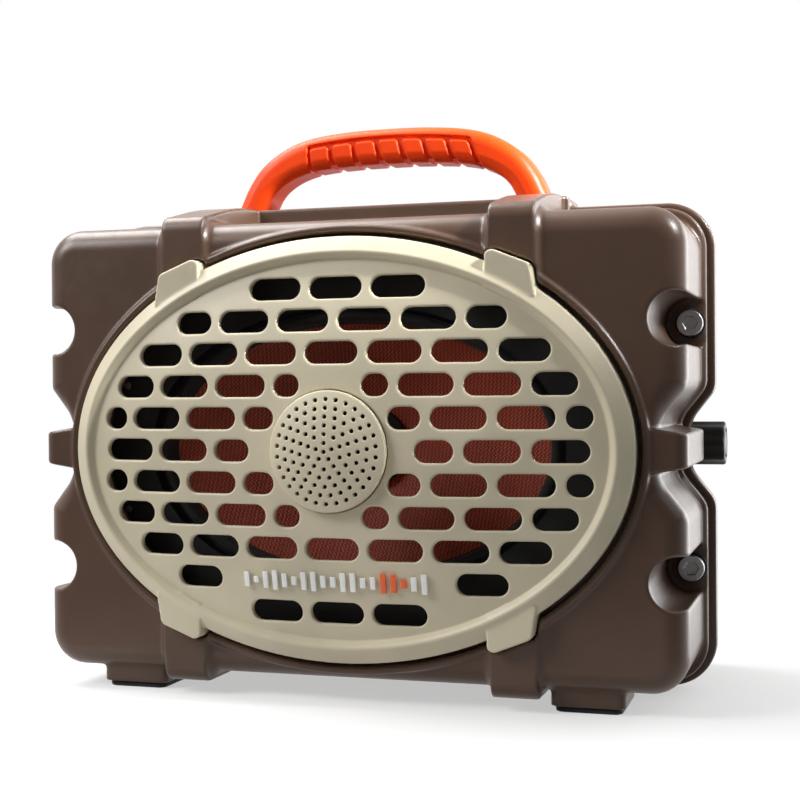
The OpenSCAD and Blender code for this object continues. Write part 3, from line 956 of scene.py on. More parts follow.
@dataclass(frozen=True)
class CaseShape:
    """Sizes that both shells share, in millimetres, and the outlines drawn from them."""

    half_w: float = corner("front_shell", True)[0] - 3
    half_h: float = 127.0
    mid_z: float = middle("grille")[2]
    front_y: float = corner("front_shell", False)[1] + 3
    seam_y: float = corner("front_shell", True)[1]
    rear_y: float = corner("rear_shell", False)[1]
    back_y: float = corner("rear_shell", True)[1] - 3
    platform_z: float = corner("rear_shell", True)[2]
    corner_r: float = 20.0
    edge_r: float = 13.0
    waist_r: float = 4.0
    notch_r: float = 2.5
    strap_r: float = 9.0
    wall: float = 4.0
    waist_in: float = 15.0
    waist_open: float = 34.0
    waist_floor: float = 15.0
    strap_in: float = 79.0
    strap_out: float = 110.4
    strap_up: float = 3.0
    strap_half_h: float = 132.0
    screw_x: float = 179.5
    screw_z: float = 68.5

    def outline(self, m: Mould, half_w: float, half_h: float, grow: float = 0.0) -> Array:
        """Front view of the case with its notched waist.

        Args:
            m: The mould that the outline is drawn in.
            half_w: Half of the width.
            half_h: Half of the height.
            grow: How much wider the notch is.

        Returns:
            The outline's field.
        """
        u = np.abs(m.x)
        v = np.abs(m.z - self.mid_z)
        radius = self.corner_r + half_w - self.half_w
        slope = edge_line(u, v, (half_w - self.waist_in, self.waist_floor + grow),
                          (half_w, self.waist_open + grow))
        notch = both(half_w - self.waist_in - u, slope, self.waist_r)
        return less(rounded_box(u, v, half_w, half_h, radius), notch, self.notch_r)

    def screws(self, m: Mould, radius: float) -> Array:
        """The four clamp screw cylinders, drawn as one."""
        return np.hypot(np.abs(m.x) - self.screw_x, np.abs(m.z - self.mid_z) - self.screw_z) - radius

    def hollow(self, m: Mould, low: float, high: float, boss: float, radius: float = 3.0) -> Array:
        """The space inside a shell, clear of the screw bosses.

        Args:
            m: The mould.
            low: Where the space starts, front to back.
            high: Where it ends.
            boss: The bosses' radius.
            radius: How far its edges are rounded.

        Returns:
            The space's field.
        """
        inner = self.outline(m, self.half_w - self.wall, self.half_h - self.wall, self.wall)
        return both(less(inner, self.screws(m, boss), 2.0), between(m.y, low, high), radius)

    def strap(self, m: Mould, block: Array, front: float, back: float, rise: float = 0.0) -> Array:
        """Both straps: bands that stand proud of the case, with slanted sides.

        Args:
            m: The mould.
            block: The case they cross.
            front: Where the strap starts.
            back: Where it ends.
            rise: How much higher the top of the strap is at the back than at the front.

        Returns:
            The straps' field.
        """
        height = m.z - self.mid_z
        run = self.seam_y - self.front_y - 14
        share = np.clip((m.y - self.front_y - 6) / run, 0, 1)
        top = self.strap_half_h + rise * np.sin(share * math.pi / 2)
        over = np.where(height > 0, height - top, -height - self.strap_half_h)
        side = both(over, between(m.y, front, back), self.strap_r)
        slant = np.clip(block, 0, self.strap_up)
        u = np.abs(m.x)
        flank = np.maximum(self.strap_in + slant - u, u - self.strap_out + slant)
        return both(side, flank, 1.0)


@dataclass
class Shells:
    """The two case halves, their gasket and the feet."""

    shape: CaseShape = field(default_factory=CaseShape)
    step: float = 1.3
    most_faces: int = 190_000
    front_rim: float = 3.0
    rear_rim: float = 7.0
    rim_t: float = 8.0
    scoop_r: float = 14.0
    seat_a: float = 162.5
    seat_b: float = 118.5
    seat_depth: float = 8.0
    bead_r: float = 2.2
    opening_a: float = 148.0
    opening_b: float = 104.0
    opening_depth: float = 14.0
    platform_h: float = 40.0
    platform_t: float = 26.0
    belt_half_h: float = 12.0
    belt_taper: float = 3.0
    belt_root: float = 166.0
    belt_run: float = 19.0
    foot_x: float = 132.0
    foot_half_w: float = 20.0
    foot_h: float = 20.0
    boss_r: float = 10.0
    screw_hole_r: float = 3.3
    insert_hole_r: float = 4.6
    panel_half_w: float = 76.0
    panel_half_h: float = 20.0
    panel_depth: float = 3.0
    well_depth: float = 10.0
    port_bore_r: float = 10.2
    vent_hole_r: float = 6.0

    def build(self) -> None:
        """Makes every piece of the case."""
        self.front()
        self.rear()
        settle_cad(shell_gasket=Paint.RUBBER)
        for foot in ("foot_front_left", "foot_front_right", "foot_rear_left", "foot_rear_right"):
            softened(foot, Paint.RUBBER, 1.0)

    def belt(self, m: Mould) -> Array:
        """The belt that crosses the waist at each side.

        Args:
            m: The mould.

        Returns:
            The belt's field.
        """
        c = self.shape
        taper = self.belt_taper * np.clip((np.abs(m.x) - self.belt_root) / self.belt_run, 0, 1)
        side = both(np.abs(m.x) - c.half_w - 0.5, c.front_y - m.y, 7.0)
        bar = both(side, np.abs(m.z - c.mid_z) - self.belt_half_h + taper, 1.4)
        return np.maximum(bar, m.y - c.seam_y)

    def platform(self, m: Mould, front: float, back: float, side_r: float, edge_r: float) -> Array:
        """The flat between the straps, on which the handle stands.

        Args:
            m: The mould.
            front: Where it starts, front to back.
            back: Where it ends.
            side_r: The corners' radius in the front view.
            edge_r: How far its edges are rounded.

        Returns:
            The platform's field.
        """
        c = self.shape
        half_h = self.platform_h / 2
        face = rounded_box(m.x, m.z - c.platform_z + half_h, c.strap_out, half_h, side_r)
        return both(face, between(m.y, front, back), edge_r)

    def foot_block(self, m: Mould, front: float, back: float) -> Array:
        """The blocks above the feet.

        Args:
            m: The mould.
            front: Where the blocks start, front to back.
            back: Where they end.

        Returns:
            The blocks' field.
        """
        under = corner("foot_front_left", True)[2]
        base = rounded_box(np.abs(m.x) - self.foot_x, m.y - (front + back) / 2, self.foot_half_w,
                           (back - front) / 2, 4)
        return both(base, between(m.z, under, under + self.foot_h), 1.0)

    def front(self) -> bpy.types.Object:
        """The front shell: block, rim, straps, belt and lip, with its seat, scoops and hollow.

        Returns:
            The piece.
        """
        c = self.shape
        m = Mould((-193, c.front_y - 5, 0), (193, c.seam_y + 2, c.platform_z + 3), coarser(self.step))
        back = m.y - c.seam_y
        block = both(c.outline(m, c.half_w, c.half_h), both(c.front_y - m.y, back, 0.4), c.edge_r)
        block = np.maximum(block, back)
        rim = both(c.outline(m, c.half_w + self.front_rim, c.half_h + 7, -1),
                   between(m.y, c.seam_y - self.rim_t, c.seam_y), 2.0)
        body = joined(block, rim, 4.0)
        body = joined(body, self.platform(m, c.seam_y - self.rim_t, c.seam_y, 2, 1.2), 2.0)
        rise = c.platform_z - c.mid_z - c.strap_half_h
        body = joined(body, c.strap(m, block, c.front_y - c.strap_up, c.seam_y, rise), 1.0)
        body = joined(body, self.belt(m), 1.5)
        body = joined(body, self.foot_block(m, c.front_y + 8, c.front_y + 45), 2.0)
        up = m.z - c.mid_z
        bead_line = oval(m.x, up, self.seat_a + self.bead_r, self.seat_b + self.bead_r)
        bead = np.hypot(bead_line, m.y - c.front_y) - self.bead_r
        body = joined(body, bead, 1.2)
        seat = both(joined(oval(m.x, up, self.seat_a, self.seat_b), tab_outline(m.x, up, 1.0), 0.5),
                    m.y - c.front_y - self.seat_depth, 0.5)
        body = less(body, seat, 0.8)
        opening = oval(m.x, up, self.opening_a, self.opening_b)
        body = less(body, both(opening, m.y - c.front_y - self.opening_depth, 0.5), 0.8)
        body = less(body, c.hollow(m, c.front_y + 12, c.seam_y + 5, self.scoop_r + c.wall), 0.8)
        scoop = both(c.screws(m, self.scoop_r), m.y - c.seam_y + self.rim_t, 1.5)
        body = less(body, scoop, 1.6)
        body = less(body, both(c.screws(m, self.screw_hole_r), m.y - c.seam_y - 4, 0.3), 0.3)
        made = m.fill(body).piece("front_shell_moulded", Paint.CASE, self.most_faces)
        return settle(made, "case", "front_shell")

    def rear(self) -> bpy.types.Object:
        """The rear shell: block, rim, handle platform, straps and the panel's recess.

        Returns:
            The piece.
        """
        c = self.shape
        m = Mould((-195, c.rear_y - 2, 0), (195, c.back_y + 5, c.platform_z + 3), coarser(self.step))
        block = both(c.outline(m, c.half_w, c.half_h), m.y - c.back_y, c.edge_r)
        block = np.maximum(block, c.rear_y - m.y)
        rim = both(c.outline(m, c.half_w + self.rear_rim, c.half_h + 11, -2.4),
                   between(m.y, c.rear_y, c.rear_y + self.rim_t + 3), 1.8)
        body = joined(block, rim, 3.0)
        body = joined(body, self.platform(m, c.rear_y, c.rear_y + self.platform_t, 3, 2.5), 3.0)
        body = joined(body, c.strap(m, block, c.rear_y, c.back_y + c.strap_up), 1.0)
        body = joined(body, self.foot_block(m, 50, 85), 2.0)
        panel_z = middle("control_bezel")[2]
        recess = rounded_box(m.x, m.z - panel_z, self.panel_half_w, self.panel_half_h, 8)
        body = less(body, both(recess, c.back_y - self.panel_depth - m.y, 0.4), 0.8)
        well = rounded_box(m.x, m.z - panel_z, self.panel_half_w - 4, self.panel_half_h - 3.5, 6)
        body = less(body, both(well, c.back_y - self.well_depth - m.y, 0.4), 0.4)
        body = less(body, c.hollow(m, c.rear_y - 12, c.back_y - c.wall, self.boss_r, 7.0), 0.8)
        port = middle("port_housing")
        bore = both(np.hypot(m.y - port[1], m.z - port[2]) - self.port_bore_r, 150 - m.x, 0.3)
        body = less(body, bore, 0.6)
        vent = middle("vent_plug")
        vent_hole = np.hypot(m.x - vent[0], m.z - vent[2]) - self.vent_hole_r
        body = less(body, both(vent_hole, c.back_y - self.well_depth - m.y, 0.3), 0.4)
        body = less(body, both(c.screws(m, self.insert_hole_r), m.y - c.rear_y - 12, 0.3), 0.3)
        made = m.fill(body).piece("rear_shell_moulded", Paint.CASE, self.most_faces)
        return settle(made, "case", "rear_shell")


def coarser(step: float) -> float:
    return step


def settle_cad(**finishes: Paint) -> None:
    """Gives CAD nodes that keep their own shape a finish.

    Args:
        finishes: The finish of each node, by the node's name.
    """
    for node, paint in finishes.items():
        made = frame["nodes"][node]
        made.data.materials.clear()
        made.data.materials.append(paint.material())
        LOG.info("%s: CAD shape in %s", node, paint.name.lower())


def tab_outline(x: Array, up: Array, grow: float) -> Array:
    """The four tabs by which the grille reaches over the straps.

    Args:
        x: How far sideways each sample is.
        up: How far above the middle each sample is.
        grow: How much larger the tabs are drawn.

    Returns:
        The tabs' field.
    """
    u, v = np.abs(x), np.abs(up)
    inner = 82 - grow - u
    slant = edge_line(u, v, (86, 106 + grow), (106, 98 + grow))
    cut = edge_line(u, v, (82 - grow, 104.5 + grow), (86, 106 + grow))
    outer = edge_line(u, v, (106 + grow, 98), (109 + grow, 80))
    return both(both(inner, outer, 1.0), both(slant, both(cut, 80 - v, 1.0), 1.0), 2.0)


# ---- grille ------------------------------------------------------------------------------------------


@dataclass
class Grille:
    """The oval grille, its tweeter cover and the badge."""

    mid_z: float = middle("grille")[2]
    apex_y: float = corner("grille", False)[1]
    half_w: float = 160.0
    half_h: float = 116.0
    seat_y: float = -62.0
    edge_y: float = -76.0
    crest_y: float = -82.0
    crest_in: float = 9.0
    dome_rx: float = 694.0
    dome_rz: float = 326.0
    sheet: float = 4.0
    slot_pitch: float = 35.0
    row_pitch: float = 17.55
    slot_l: float = 30.0
    slot_h: float = 12.0
    row_limit: float = 94.0
    row_reach: float = 141.5
    shortest_slot: float = 13.4
    cover_r: float = 32.5
    cover_rise: float = 4.8
    hole_r: float = 1.15
    hole_pitch: float = 4.62
    step: float = 0.8

    def build(self) -> None:
        """Makes the grille's pieces."""
        self.grille()
        self.cover()
        settle_cad(grille_screws=Paint.STEEL)
        softened("grille_badge", Paint.BADGE_WHITE, 0.35)
        softened("badge_accent", Paint.BADGE_ORANGE, 0.35)

    def face(self, x: Array, up: Array) -> Array:
        """Where the domed face stands, front to back."""
        return self.apex_y + x**2 / (2 * self.dome_rx) + up**2 / (2 * self.dome_rz)

    def slot_spans(self) -> Iterable[tuple[float, float, float]]:
        """Start, end and height of each slot of the right half.

        Returns:
            The spans, row by row.
        """
        for row in range(-5, 6):
            height = row * self.row_pitch
            end = self.row_reach * math.sqrt(1 - (height / self.row_limit) ** 2)
            start = -self.slot_l if abs(row) > 2 else 46.75 - 14.6 * abs(row)
            centres = [(k + (0.5 if row % 2 == 0 else 0.0)) * self.slot_pitch for k in range(5)]
            if row == -4:
                start, centres = 66.75, [80.5]
            for centre in centres:
                low = max(centre - self.slot_l / 2, start)
                high = min(centre + self.slot_l / 2, end)
                if high - low > self.shortest_slot:
                    yield low, high, height

    def slots(self, x: Array, up: Array) -> Array:
        """The field of all the slots, in the front view.

        Args:
            x: How far sideways each sample is.
            up: How far above the middle each sample is.

        Returns:
            The slots' field.
        """
        u = np.abs(x)
        found = np.full(np.broadcast_shapes(x.shape, up.shape), 1e3, np.float32)
        radius = self.slot_h / 2
        for low, high, height in self.slot_spans():
            along = np.maximum(np.maximum(low + radius - u, u - high + radius), 0)
            found = np.minimum(found, np.hypot(along, up - height) - radius)
        return found

    def grille(self) -> bpy.types.Object:
        """The moulded grille: bevelled rim, domed sheet, slots and tabs.

        Returns:
            The piece.
        """
        m = Mould((-self.half_w - 3, self.apex_y - 2, self.mid_z - self.half_h - 3),
                  (self.half_w + 3, self.seat_y + 2, self.mid_z + self.half_h + 3), coarser(self.step))
        up = m.z - self.mid_z
        edge = oval(m.x, up, self.half_w, self.half_h)
        outer = (self.edge_y + edge * (self.edge_y - self.crest_y) / self.crest_in - m.y) * 0.83
        inner = (self.crest_y - (self.crest_in + edge) * 0.9 - m.y) * 0.74
        rim = both(outer, inner, 1.4)
        rim = both(both(rim, m.y - self.seat_y, 0.6), both(edge, -edge - 12.4, 0.4), 0.6)
        tab = both(tab_outline(m.x, up, 0.0), between(m.y, self.crest_y + 2.2, self.seat_y), 0.7)
        body = joined(rim, np.maximum(tab, -edge - 12.4), 0.8)
        lean = np.sqrt(1 + (m.x / self.dome_rx) ** 2 + (up / self.dome_rz) ** 2)
        behind = (m.y - self.face(m.x, up)) / lean
        sheet = both(np.abs(behind - self.sheet / 2) - self.sheet / 2, edge + 11.4, 0.4)
        body = joined(body, sheet, 0.9)
        openings = np.minimum(self.slots(m.x, up), np.hypot(m.x, up) - self.cover_r - 0.1)
        body = less(body, np.maximum(openings, behind - 8), 0.9)
        made = m.fill(body).piece("grille_moulded", Paint.GRILLE, 195_000)
        return settle(made, "case", "grille")

    def cover(self) -> bpy.types.Object:
        """The perforated dome over the tweeter.

        Returns:
            The piece.
        """
        low, high = corner("tweeter_cover", False), corner("tweeter_cover", True)
        m = Mould(low - 1.5, high + 1.5, 0.42)
        up = m.z - self.mid_z
        from_axis = np.hypot(m.x, up)
        ball = (self.cover_r**2 + self.cover_rise**2) / (2 * self.cover_rise)
        depth = np.sqrt(m.x**2 + (m.y - low[1] - ball) ** 2 + up**2) - ball
        shell = both(depth, from_axis - self.cover_r, 0.7)
        shell = both(shell, m.y - high[1], 0.4)
        cavity = both(depth + 2, from_axis - self.cover_r + 2.5, 0.4)
        body = less(shell, cavity, 0.3)
        holes = np.full(from_axis.shape, 1e3, np.float32)
        for ring in range(7):
            count = max(1, 5 * ring)
            away = self.hole_pitch * ring
            for angle in (2 * math.pi * k / count for k in range(count)):
                hole = np.hypot(m.x - away * math.sin(angle), up - away * math.cos(angle)) - self.hole_r
                holes = np.minimum(holes, hole)
        made = m.fill(less(body, holes, 0.35)).piece("tweeter_cover_moulded", Paint.GRILLE, 150_000)
        return settle(made, "case", "tweeter_cover")


# ---- handle ------------------------------------------------------------------------------------------


@dataclass
class Handle:
    """The carry handle with its finger pads."""

    front_y: float = corner("handle", False)[1]
    back_y: float = corner("handle", True)[1]
    foot_z: float = corner("handle", False)[2]
    top_z: float = corner("handle", True)[2]
    step: float = 0.65
    pads: int = 7
    pad_pitch: float = 14.6
    pad_w: float = 11.4
    pad_lean: float = 0.3
    pad_depth: float = 2.2
    crown: float = 41.2
    outer_r: float = 8.0
    inner_r: float = 6.5
    outside: tuple = ((98.4, 0.0), (91.8, 14.0), (81.8, 27.5), (67.0, 37.6), (50.0, 43.3), (26.0, 46.0),
                      (0.0, 46.6))
    inside: tuple = ((79.5, 0.0), (75.0, 8.5), (69.0, 14.5), (59.0, 19.8), (45.0, 23.2), (22.0, 24.8),
                     (0.0, 25.1))

    def build(self) -> None:
        """Makes the handle and its fixings."""
        self.handle()
        settle_cad(handle_bolts=Paint.STEEL, handle_plates=Paint.STEEL)

    def dome(self, u: Array, v: Array, points: Sequence[tuple[float, float]]) -> Array:
        """A convex outline on a smooth curve.

        Args:
            u: How far sideways each sample is.
            v: How high each sample is.
            points: Points of the curve, from its foot to its top.

        Returns:
            The outline's field.
        """
        first, second, before, last = points[0], points[1], points[-2], points[-1]
        start = (2 * first[0] - second[0], 2 * first[1] - second[1])
        knots = np.array([start, *points, (-before[0], before[1])])
        curve = []
        for a, b, c, d in zip(knots, knots[1:], knots[2:], knots[3:]):
            for t in np.linspace(0, 1, 8, endpoint=False):
                curve.append(0.5 * (2 * b + (c - a) * t + (2 * a - 5 * b + 4 * c - d) * t**2
                                    + (3 * b - a - 3 * c + d) * t**3))
        curve.append(np.array(last))
        found = np.full(np.broadcast_shapes(u.shape, v.shape), -1e3)
        for start, end in zip(curve, curve[1:]):
            found = np.maximum(found, -edge_line(u, v, start, end))
        return found

    def handle(self) -> bpy.types.Object:
        """The moulded handle.

        Returns:
            The piece.
        """
        m = Mould((-100, self.front_y - 2, self.foot_z - 1.5), (100, self.back_y + 2, self.top_z + 2),
                  coarser(self.step))
        u, v = np.abs(m.x), m.z - self.foot_z
        outer, inner = self.dome(u, v, self.outside), self.dome(u, v, self.inside)
        thick = between(m.y, self.front_y, self.back_y)
        body = less(both(outer, thick, self.outer_r), inner, self.inner_r)
        body = np.maximum(body, 0.05 - v)
        crown = self.crown - (m.x / 160) ** 2 * 34
        lean = m.x + self.pad_lean * (v - crown) * np.clip((m.x + 75) / 90, 0.1, 1.2)
        first = -(self.pads - 1) / 2 * self.pad_pitch
        pads = np.full(lean.shape, 1e3)
        for k in range(self.pads):
            pads = np.minimum(pads, np.abs(lean - first - k * self.pad_pitch) - self.pad_w / 2)
        pads = both(pads, v - crown + 2.2, 1.8)
        ends = np.abs(lean - 0.5) - self.pads * self.pad_pitch / 2 - 0.4
        skin = joined(m.y - self.front_y - self.pad_depth, inner - self.pad_depth, 4.0)
        groove = both(both(ends, v - crown, 1.5), skin, 0.6)
        body = less(body, less(groove, pads, 0.5), 0.9)
        made = m.fill(body).piece("handle_moulded", Paint.HANDLE, 190_000)
        return settle(made, "case", "handle")


# ---- speakers ----------------------------------------------------------------------------------------


@dataclass
class Woofer:
    """The cone, its surround and dust cap, and the motor behind them."""

    mid_z: float = middle("woofer_cone")[2]
    rim_y: float = corner("woofer_cone", False)[1]
    half_w: float = corner("woofer_cone", True)[0]
    half_h: float = corner("woofer_cone", True)[2] - middle("woofer_cone")[2]
    neck_r: float = 23.0
    depth: float = 23.0
    paper_t: float = 1.2
    roll: float = 6.4
    roll_lift: float = 4.2
    rubber_t: float = 0.9
    cap_rise: float = 7.0
    sides: int = 144

    def build(self) -> None:
        """Makes the speaker's pieces."""
        self.cone()
        self.surround()
        self.cap()
        settle_cad(baffle=Paint.BLACK, baffle_screws=Paint.STEEL, woofer_basket=Paint.BASKET,
                   voice_coil=Paint.COPPER, woofer_spider=Paint.CLOTH, woofer_top_plate=Paint.STEEL,
                   woofer_magnet=Paint.FERRITE, woofer_back_plate=Paint.STEEL, tweeter_housing=Paint.BLACK,
                   tweeter_dome=Paint.BLACK, tweeter_magnet=Paint.FERRITE)

    def ring(self, a: float, b: float, y: float) -> Array:
        """Points of an oval about the speaker's axis."""
        angles = np.linspace(0, 2 * math.pi, self.sides, endpoint=False)
        up = self.mid_z + b * np.sin(angles)
        return np.stack([a * np.cos(angles), np.full(self.sides, y), up], axis=1)

    def flare(self, share: float) -> tuple[float, float, float]:
        """The cone's half axes and place a share of the way from its rim to its neck.

        Args:
            share: The share of the way, from 0 to 1.

        Returns:
            Half of the width, half of the height and the place, front to back.
        """
        pull = share ** 0.92
        a = self.half_w + (self.neck_r - self.half_w) * pull
        b = self.half_h + (self.neck_r - self.half_h) * pull
        return a, b, self.rim_y + self.depth * (share ** 0.8)

    def cone(self) -> bpy.types.Object:
        """The woven cone, curved like a horn from its oval rim to its round neck.

        Returns:
            The piece.
        """
        shares = np.linspace(0, 1, 22)
        front = [self.ring(*self.flare(s)) for s in shares]
        back = [r + np.array([0, self.paper_t, 0]) for r in reversed(front)]
        points, faces = loft(front + back, closed=True, capped=False)
        made = shade_by_angle(mesh_piece("woofer_cone_woven", points, faces, Paint.CONE))
        return settle(made, "cone", "woofer_cone")

    def surround(self) -> bpy.types.Object:
        """The rubber half roll between the case and the cone.

        Returns:
            The piece.
        """
        inner_a, inner_b = self.half_w + 0.6, self.half_h + 0.6
        roll = self.roll
        arc = [(roll / 2 * (1 + math.cos(t)) + 0.4, -self.roll_lift * math.sin(t) - 0.4)
               for t in np.linspace(0, math.pi, 15)]
        front = [(roll + 2.4, 0.0), (roll + 1.2, -0.2)] + arc + [(0.1, 0.6), (-0.5, 3.6), (-1.0, 4.6)]
        back = [(w, y + self.rubber_t) for w, y in reversed(front)]
        profile = front + back
        rings = [self.ring(inner_a + w, inner_b + w, self.rim_y - self.roll_lift + y) for w, y in profile]
        points, faces = loft(rings, closed=True, capped=False)
        made = shade_by_angle(mesh_piece("surround_roll", points, faces, Paint.RUBBER))
        share = np.clip([(roll - w) / roll for w, y in profile], 0, 1)
        return self.flex(made, np.repeat(share * share * (3 - 2 * share), self.sides), "woofer_surround")

    def flex(self, made: bpy.types.Object, weights: Array, node: str) -> bpy.types.Object:
        """Bakes a piece's place into its mesh and hides the CAD node that it stands for.

        Args:
            made: The piece.
            weights: How far each point follows the cone, from 0 to 1; not used.
            node: The CAD node that the piece stands for.

        Returns:
            The piece.
        """
        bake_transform(made)
        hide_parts(node)
        LOG.info("%s: %d faces between case and cone", made.name, len(made.data.polygons))
        return made

    def cap(self) -> bpy.types.Object:
        """The pressed dust cap with its glued rim.

        Returns:
            The piece.
        """
        low, high = corner("dust_cap", False), corner("dust_cap", True)
        radius, rise = (high[0] - low[0]) / 2, self.cap_rise
        ball = (radius**2 + rise**2) / (2 * rise)
        profile = [(0.02, 0.0)]
        for share in np.linspace(0.06, 1, 24):
            r = radius * share
            profile.append((r, ball - math.sqrt(ball**2 - r**2)))
        profile += [(radius, rise + 0.8), (radius - 1.2, rise + 0.8)]
        for share in np.linspace(0.95, 0.05, 20):
            r = (radius - 1.2) * share
            profile.append((r, ball - math.sqrt(ball**2 - r**2) + 0.9))
        profile.append((0.02, 0.9))
        made = turned("dust_cap_pressed", profile, "Y", (0, low[1], self.mid_z), Paint.BLACK, 96)
        return settle(made, "cone", "dust_cap")


# ---- controls, port and electronics ------------------------------------------------------------------


@dataclass
class Controls:
    """The control panel on the back: bezel, buttons and light pipes."""

    keys: tuple = (("button_power", Paint.KEY_ORANGE), ("button_pair", Paint.RUBBER),
                   ("button_play", Paint.RUBBER), ("button_volume_down", Paint.RUBBER),
                   ("button_volume_up", Paint.RUBBER))
    flange: float = 1.4
    shoulder: float = 1.6
    dish: float = 0.75

    def build(self) -> None:
        """Makes the panel's pieces."""
        softened("control_bezel", Paint.BLACK, 0.5)
        for node, paint in self.keys:
            self.button(node, paint)
        settle_cad(keypad=Paint.RUBBER, key_board=Paint.BOARD, light_pipes=Paint.LIGHT)

    def button(self, node: str, paint: Paint) -> bpy.types.Object:
        """A round key with a dished top and a flange that keeps it in.

        Args:
            node: The key's CAD node.
            paint: The finish.

        Returns:
            The piece.
        """
        low, high = corner(node, False), corner(node, True)
        centre = (low + high) / 2
        widest, length = (high[0] - low[0]) / 2, high[1] - low[1]
        radius = widest - self.flange
        profile = [(0.02, 0.0), (widest, 0.0), (widest, self.shoulder), (radius, self.shoulder),
                   (radius, length - 1.0)]
        profile += [(radius - 0.9 * (1 - math.cos(t)), length - 1.0 + 0.9 * math.sin(t))
                    for t in np.linspace(0.2, math.pi / 2, 6)]
        profile += [(radius * s, length - 0.1 - self.dish * (1 - s**2))
                    for s in (0.8, 0.65, 0.5, 0.35, 0.2, 0.05)]
        made = turned(f"{node}_key", profile, "Y", (centre[0], low[1], centre[2]), paint, 72)
        return settle(made, frame["nodes"][node]["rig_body"], node)


@dataclass
class Port:
    """The screw capped port on the right side."""

    lobes: int = 8
    scallop: float = 0.5
    bore_r: float = 10.6
    bore_end: float = 189.6
    ring_r: float = 8.0
    step: float = 0.4

    def build(self) -> None:
        """Makes the port's pieces."""
        self.cap()
        settle_cad(port_housing=Paint.BLACK, port_board=Paint.BOARD, usb_socket=Paint.STEEL,
                   aux_socket=Paint.BLACK, cap_seal=Paint.SEAL)

    def cap(self) -> bpy.types.Object:
        """The lobed screw cap: a scalloped grip, a ring pressed into its end, and its bore.

        Returns:
            The piece.
        """
        low, high = corner("port_cap", False), corner("port_cap", True)
        centre = (low + high) / 2
        outer = (high[1] - low[1]) / 2
        m = Mould(low - 1.0, high + 1.0, coarser(self.step))
        across, up = m.y - centre[1], m.z - centre[2]
        from_axis = np.hypot(across, up)
        angle = np.arctan2(up, across)
        grip = from_axis - outer + self.scallop * (1 - np.cos(self.lobes * angle))
        body = both(grip, between(m.x, low[0], high[0]), 1.6)
        body = less(body, both(from_axis - self.bore_r, m.x - self.bore_end, 0.4), 0.5)
        ring = np.abs(from_axis - self.ring_r) - 0.9
        body = less(body, both(ring, high[0] - 0.9 - m.x, 0.3), 0.3)
        made = m.fill(body).piece("port_cap_moulded", Paint.BLACK, 120_000)
        return settle(made, "cap", "port_cap")


@dataclass
class Hardware:
    """Screws, washers, vent and the electronics inside."""

    head_edge: float = 0.9

    def build(self) -> None:
        """Rounds the screws, washers and vent, and dresses the inner parts."""
        softened("case_screws", Paint.STEEL, self.head_edge)
        softened("case_washers", Paint.RUBBER, 0.3)
        softened("vent_plug", Paint.BLACK, 0.6)
        settle_cad(case_inserts=Paint.BRASS, amplifier_board=Paint.BOARD, heat_sink=Paint.ALUMINIUM,
                   capacitors=Paint.SLEEVE, inductors=Paint.COPPER, battery_tray=Paint.BLACK,
                   battery_cells=Paint.CELL, battery_board=Paint.BOARD, battery_cover=Paint.BLACK)


# ---- studio ------------------------------------------------------------------------------------------


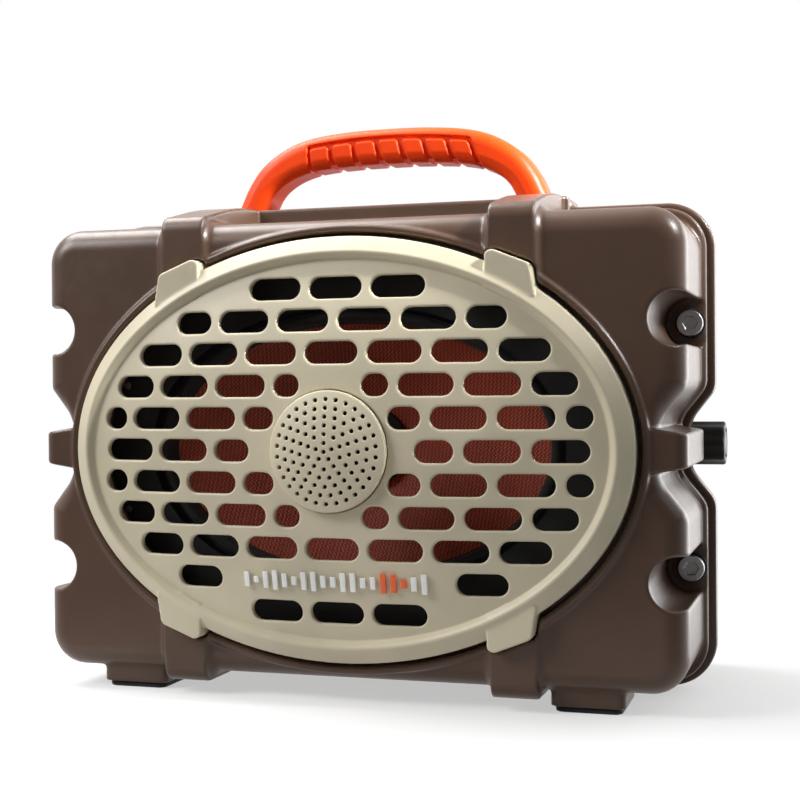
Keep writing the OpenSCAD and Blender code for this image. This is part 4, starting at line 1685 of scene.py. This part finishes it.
@dataclass
class Studio:
    """Floor, soft lights and camera."""

    turn: float = 17.25
    tilt: float = 0.43
    roll: float = -0.42
    distance: float = 767.2
    aside: float = 38.15
    above: float = 27.3
    lens: float = 65.07
    dim: float = 0.15
    white: float = 1.0
    dim_from: float = -0.5
    white_from: float = 0.6
    floor_reach: float = 6.0

    def build(self) -> None:
        """Sets the stage."""
        self.floor()
        self.sky()
        self.lamp("key", (-1.3, -0.9, 1.2), (0, 0, 0.15), 0.8, 26.0)
        self.lamp("top", (-0.8, 0.15, 1.5), (0, 0, 0.15), 0.9, 28.0)
        self.lamp("rear_right", (1.15, 1.45, 0.35), (0.15, 0, 0.12), 1.25, 20.0)
        self.lamp("right_spot", (0.95, -0.08, 0.95), (0.09, 0.03, 0.335), 0.15, 0.75, 20.0)
        self.camera()

    def floor(self) -> None:
        """A wide pale floor."""
        mesh = bpy.data.meshes.new("floor")
        far = self.floor_reach
        mesh.from_pydata([(-far, -far, 0), (far, -far, 0), (far, far, 0), (-far, far, 0)], [],
                         [(0, 1, 2, 3)])
        made = bpy.data.objects.new("floor", mesh)
        bpy.context.scene.collection.objects.link(made)
        mesh.materials.append(Paint.SWEEP.material())
        made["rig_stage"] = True

    def sky(self) -> None:
        """A surround that is white behind the speaker and dim in front of it, where the room is dark."""
        world = bpy.data.worlds.new("studio")
        graph = Graph(world)
        direction = graph.node("ShaderNodeTexCoord").outputs["Generated"]
        backward = Value(graph, graph.node("ShaderNodeSeparateXYZ", None, {0: direction}).outputs["Y"])
        seen = Value(graph, graph.node("ShaderNodeLightPath").outputs["Is Camera Ray"])
        strength = backward.ramp(self.dim_from, self.white_from) * (self.white - self.dim) + self.dim
        light = graph.node("ShaderNodeBackground", None,
                           {"Color": (1.0, 1.0, 1.0), "Strength": strength.at_least(seen)})
        graph.node("ShaderNodeOutputWorld", None, {"Surface": light.outputs[0]})
        bpy.context.scene.world = world
        bpy.context.scene.view_settings.view_transform = "Standard"

    def lamp(self, name: str, place: Sequence[float], aim: Sequence[float], size: float, power: float,
             spread: float = 180.0) -> None:
        """A square soft light.

        Args:
            name: The light's name.
            place: Where it stands, in metres.
            aim: The point it faces.
            size: Its width in metres.
            power: Its power in watts.
            spread: How wide its beam is, in degrees.
        """
        light = bpy.data.lights.new(name, "AREA")
        light.shape = "SQUARE"
        light.size = size
        light.energy = power
        light.spread = math.radians(spread)
        made = bpy.data.objects.new(name, light)
        made.location = place
        made.rotation_euler = (Vector(aim) - Vector(place)).to_track_quat("-Z", "Y").to_euler()
        bpy.context.scene.collection.objects.link(made)

    def camera(self) -> None:
        """The camera, placed from the grille's foremost point."""
        turn, tilt, roll = (math.radians(a) for a in (self.turn, self.tilt, self.roll))
        back = Vector((math.sin(turn) * math.cos(tilt), -math.cos(turn) * math.cos(tilt), math.sin(tilt)))
        level = Vector((math.cos(turn), math.sin(turn), 0))
        rise = back.cross(level)
        right = level * math.cos(roll) + rise * math.sin(roll)
        up = rise * math.cos(roll) - level * math.sin(roll)
        apex = Vector((0, corner("grille", False)[1], middle("grille")[2]))
        data = bpy.data.cameras.new("camera")
        data.lens = self.lens
        data.sensor_width = 36.0
        data.clip_start = 0.05
        made = bpy.data.objects.new("camera", data)
        place = (apex + back * self.distance + right * self.aside + up * self.above) * MM
        made.matrix_world = Matrix.Translation(place) @ Matrix((right, up, back)).transposed().to_4x4()
        bpy.context.scene.collection.objects.link(made)
        bpy.context.scene.camera = made


def write_sizes() -> None:
    """Works out the CAD box and the visual model's box."""
    boxes = {"cad": CAD_BOX, "visual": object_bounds()}
    {name: [list(low), list(high)] for name, (low, high) in boxes.items()}


def main() -> None:
    """Builds each sub-assembly in turn."""
    logging.basicConfig(level=logging.INFO, format="%(message)s")
    for assembly in (Shells(), Grille(), Handle(), Woofer(), Controls(), Port(), Hardware(), Studio()):
        LOG.info("building %s", type(assembly).__name__)
        assembly.build()
    write_sizes()


if __name__ == "__main__":
    main()
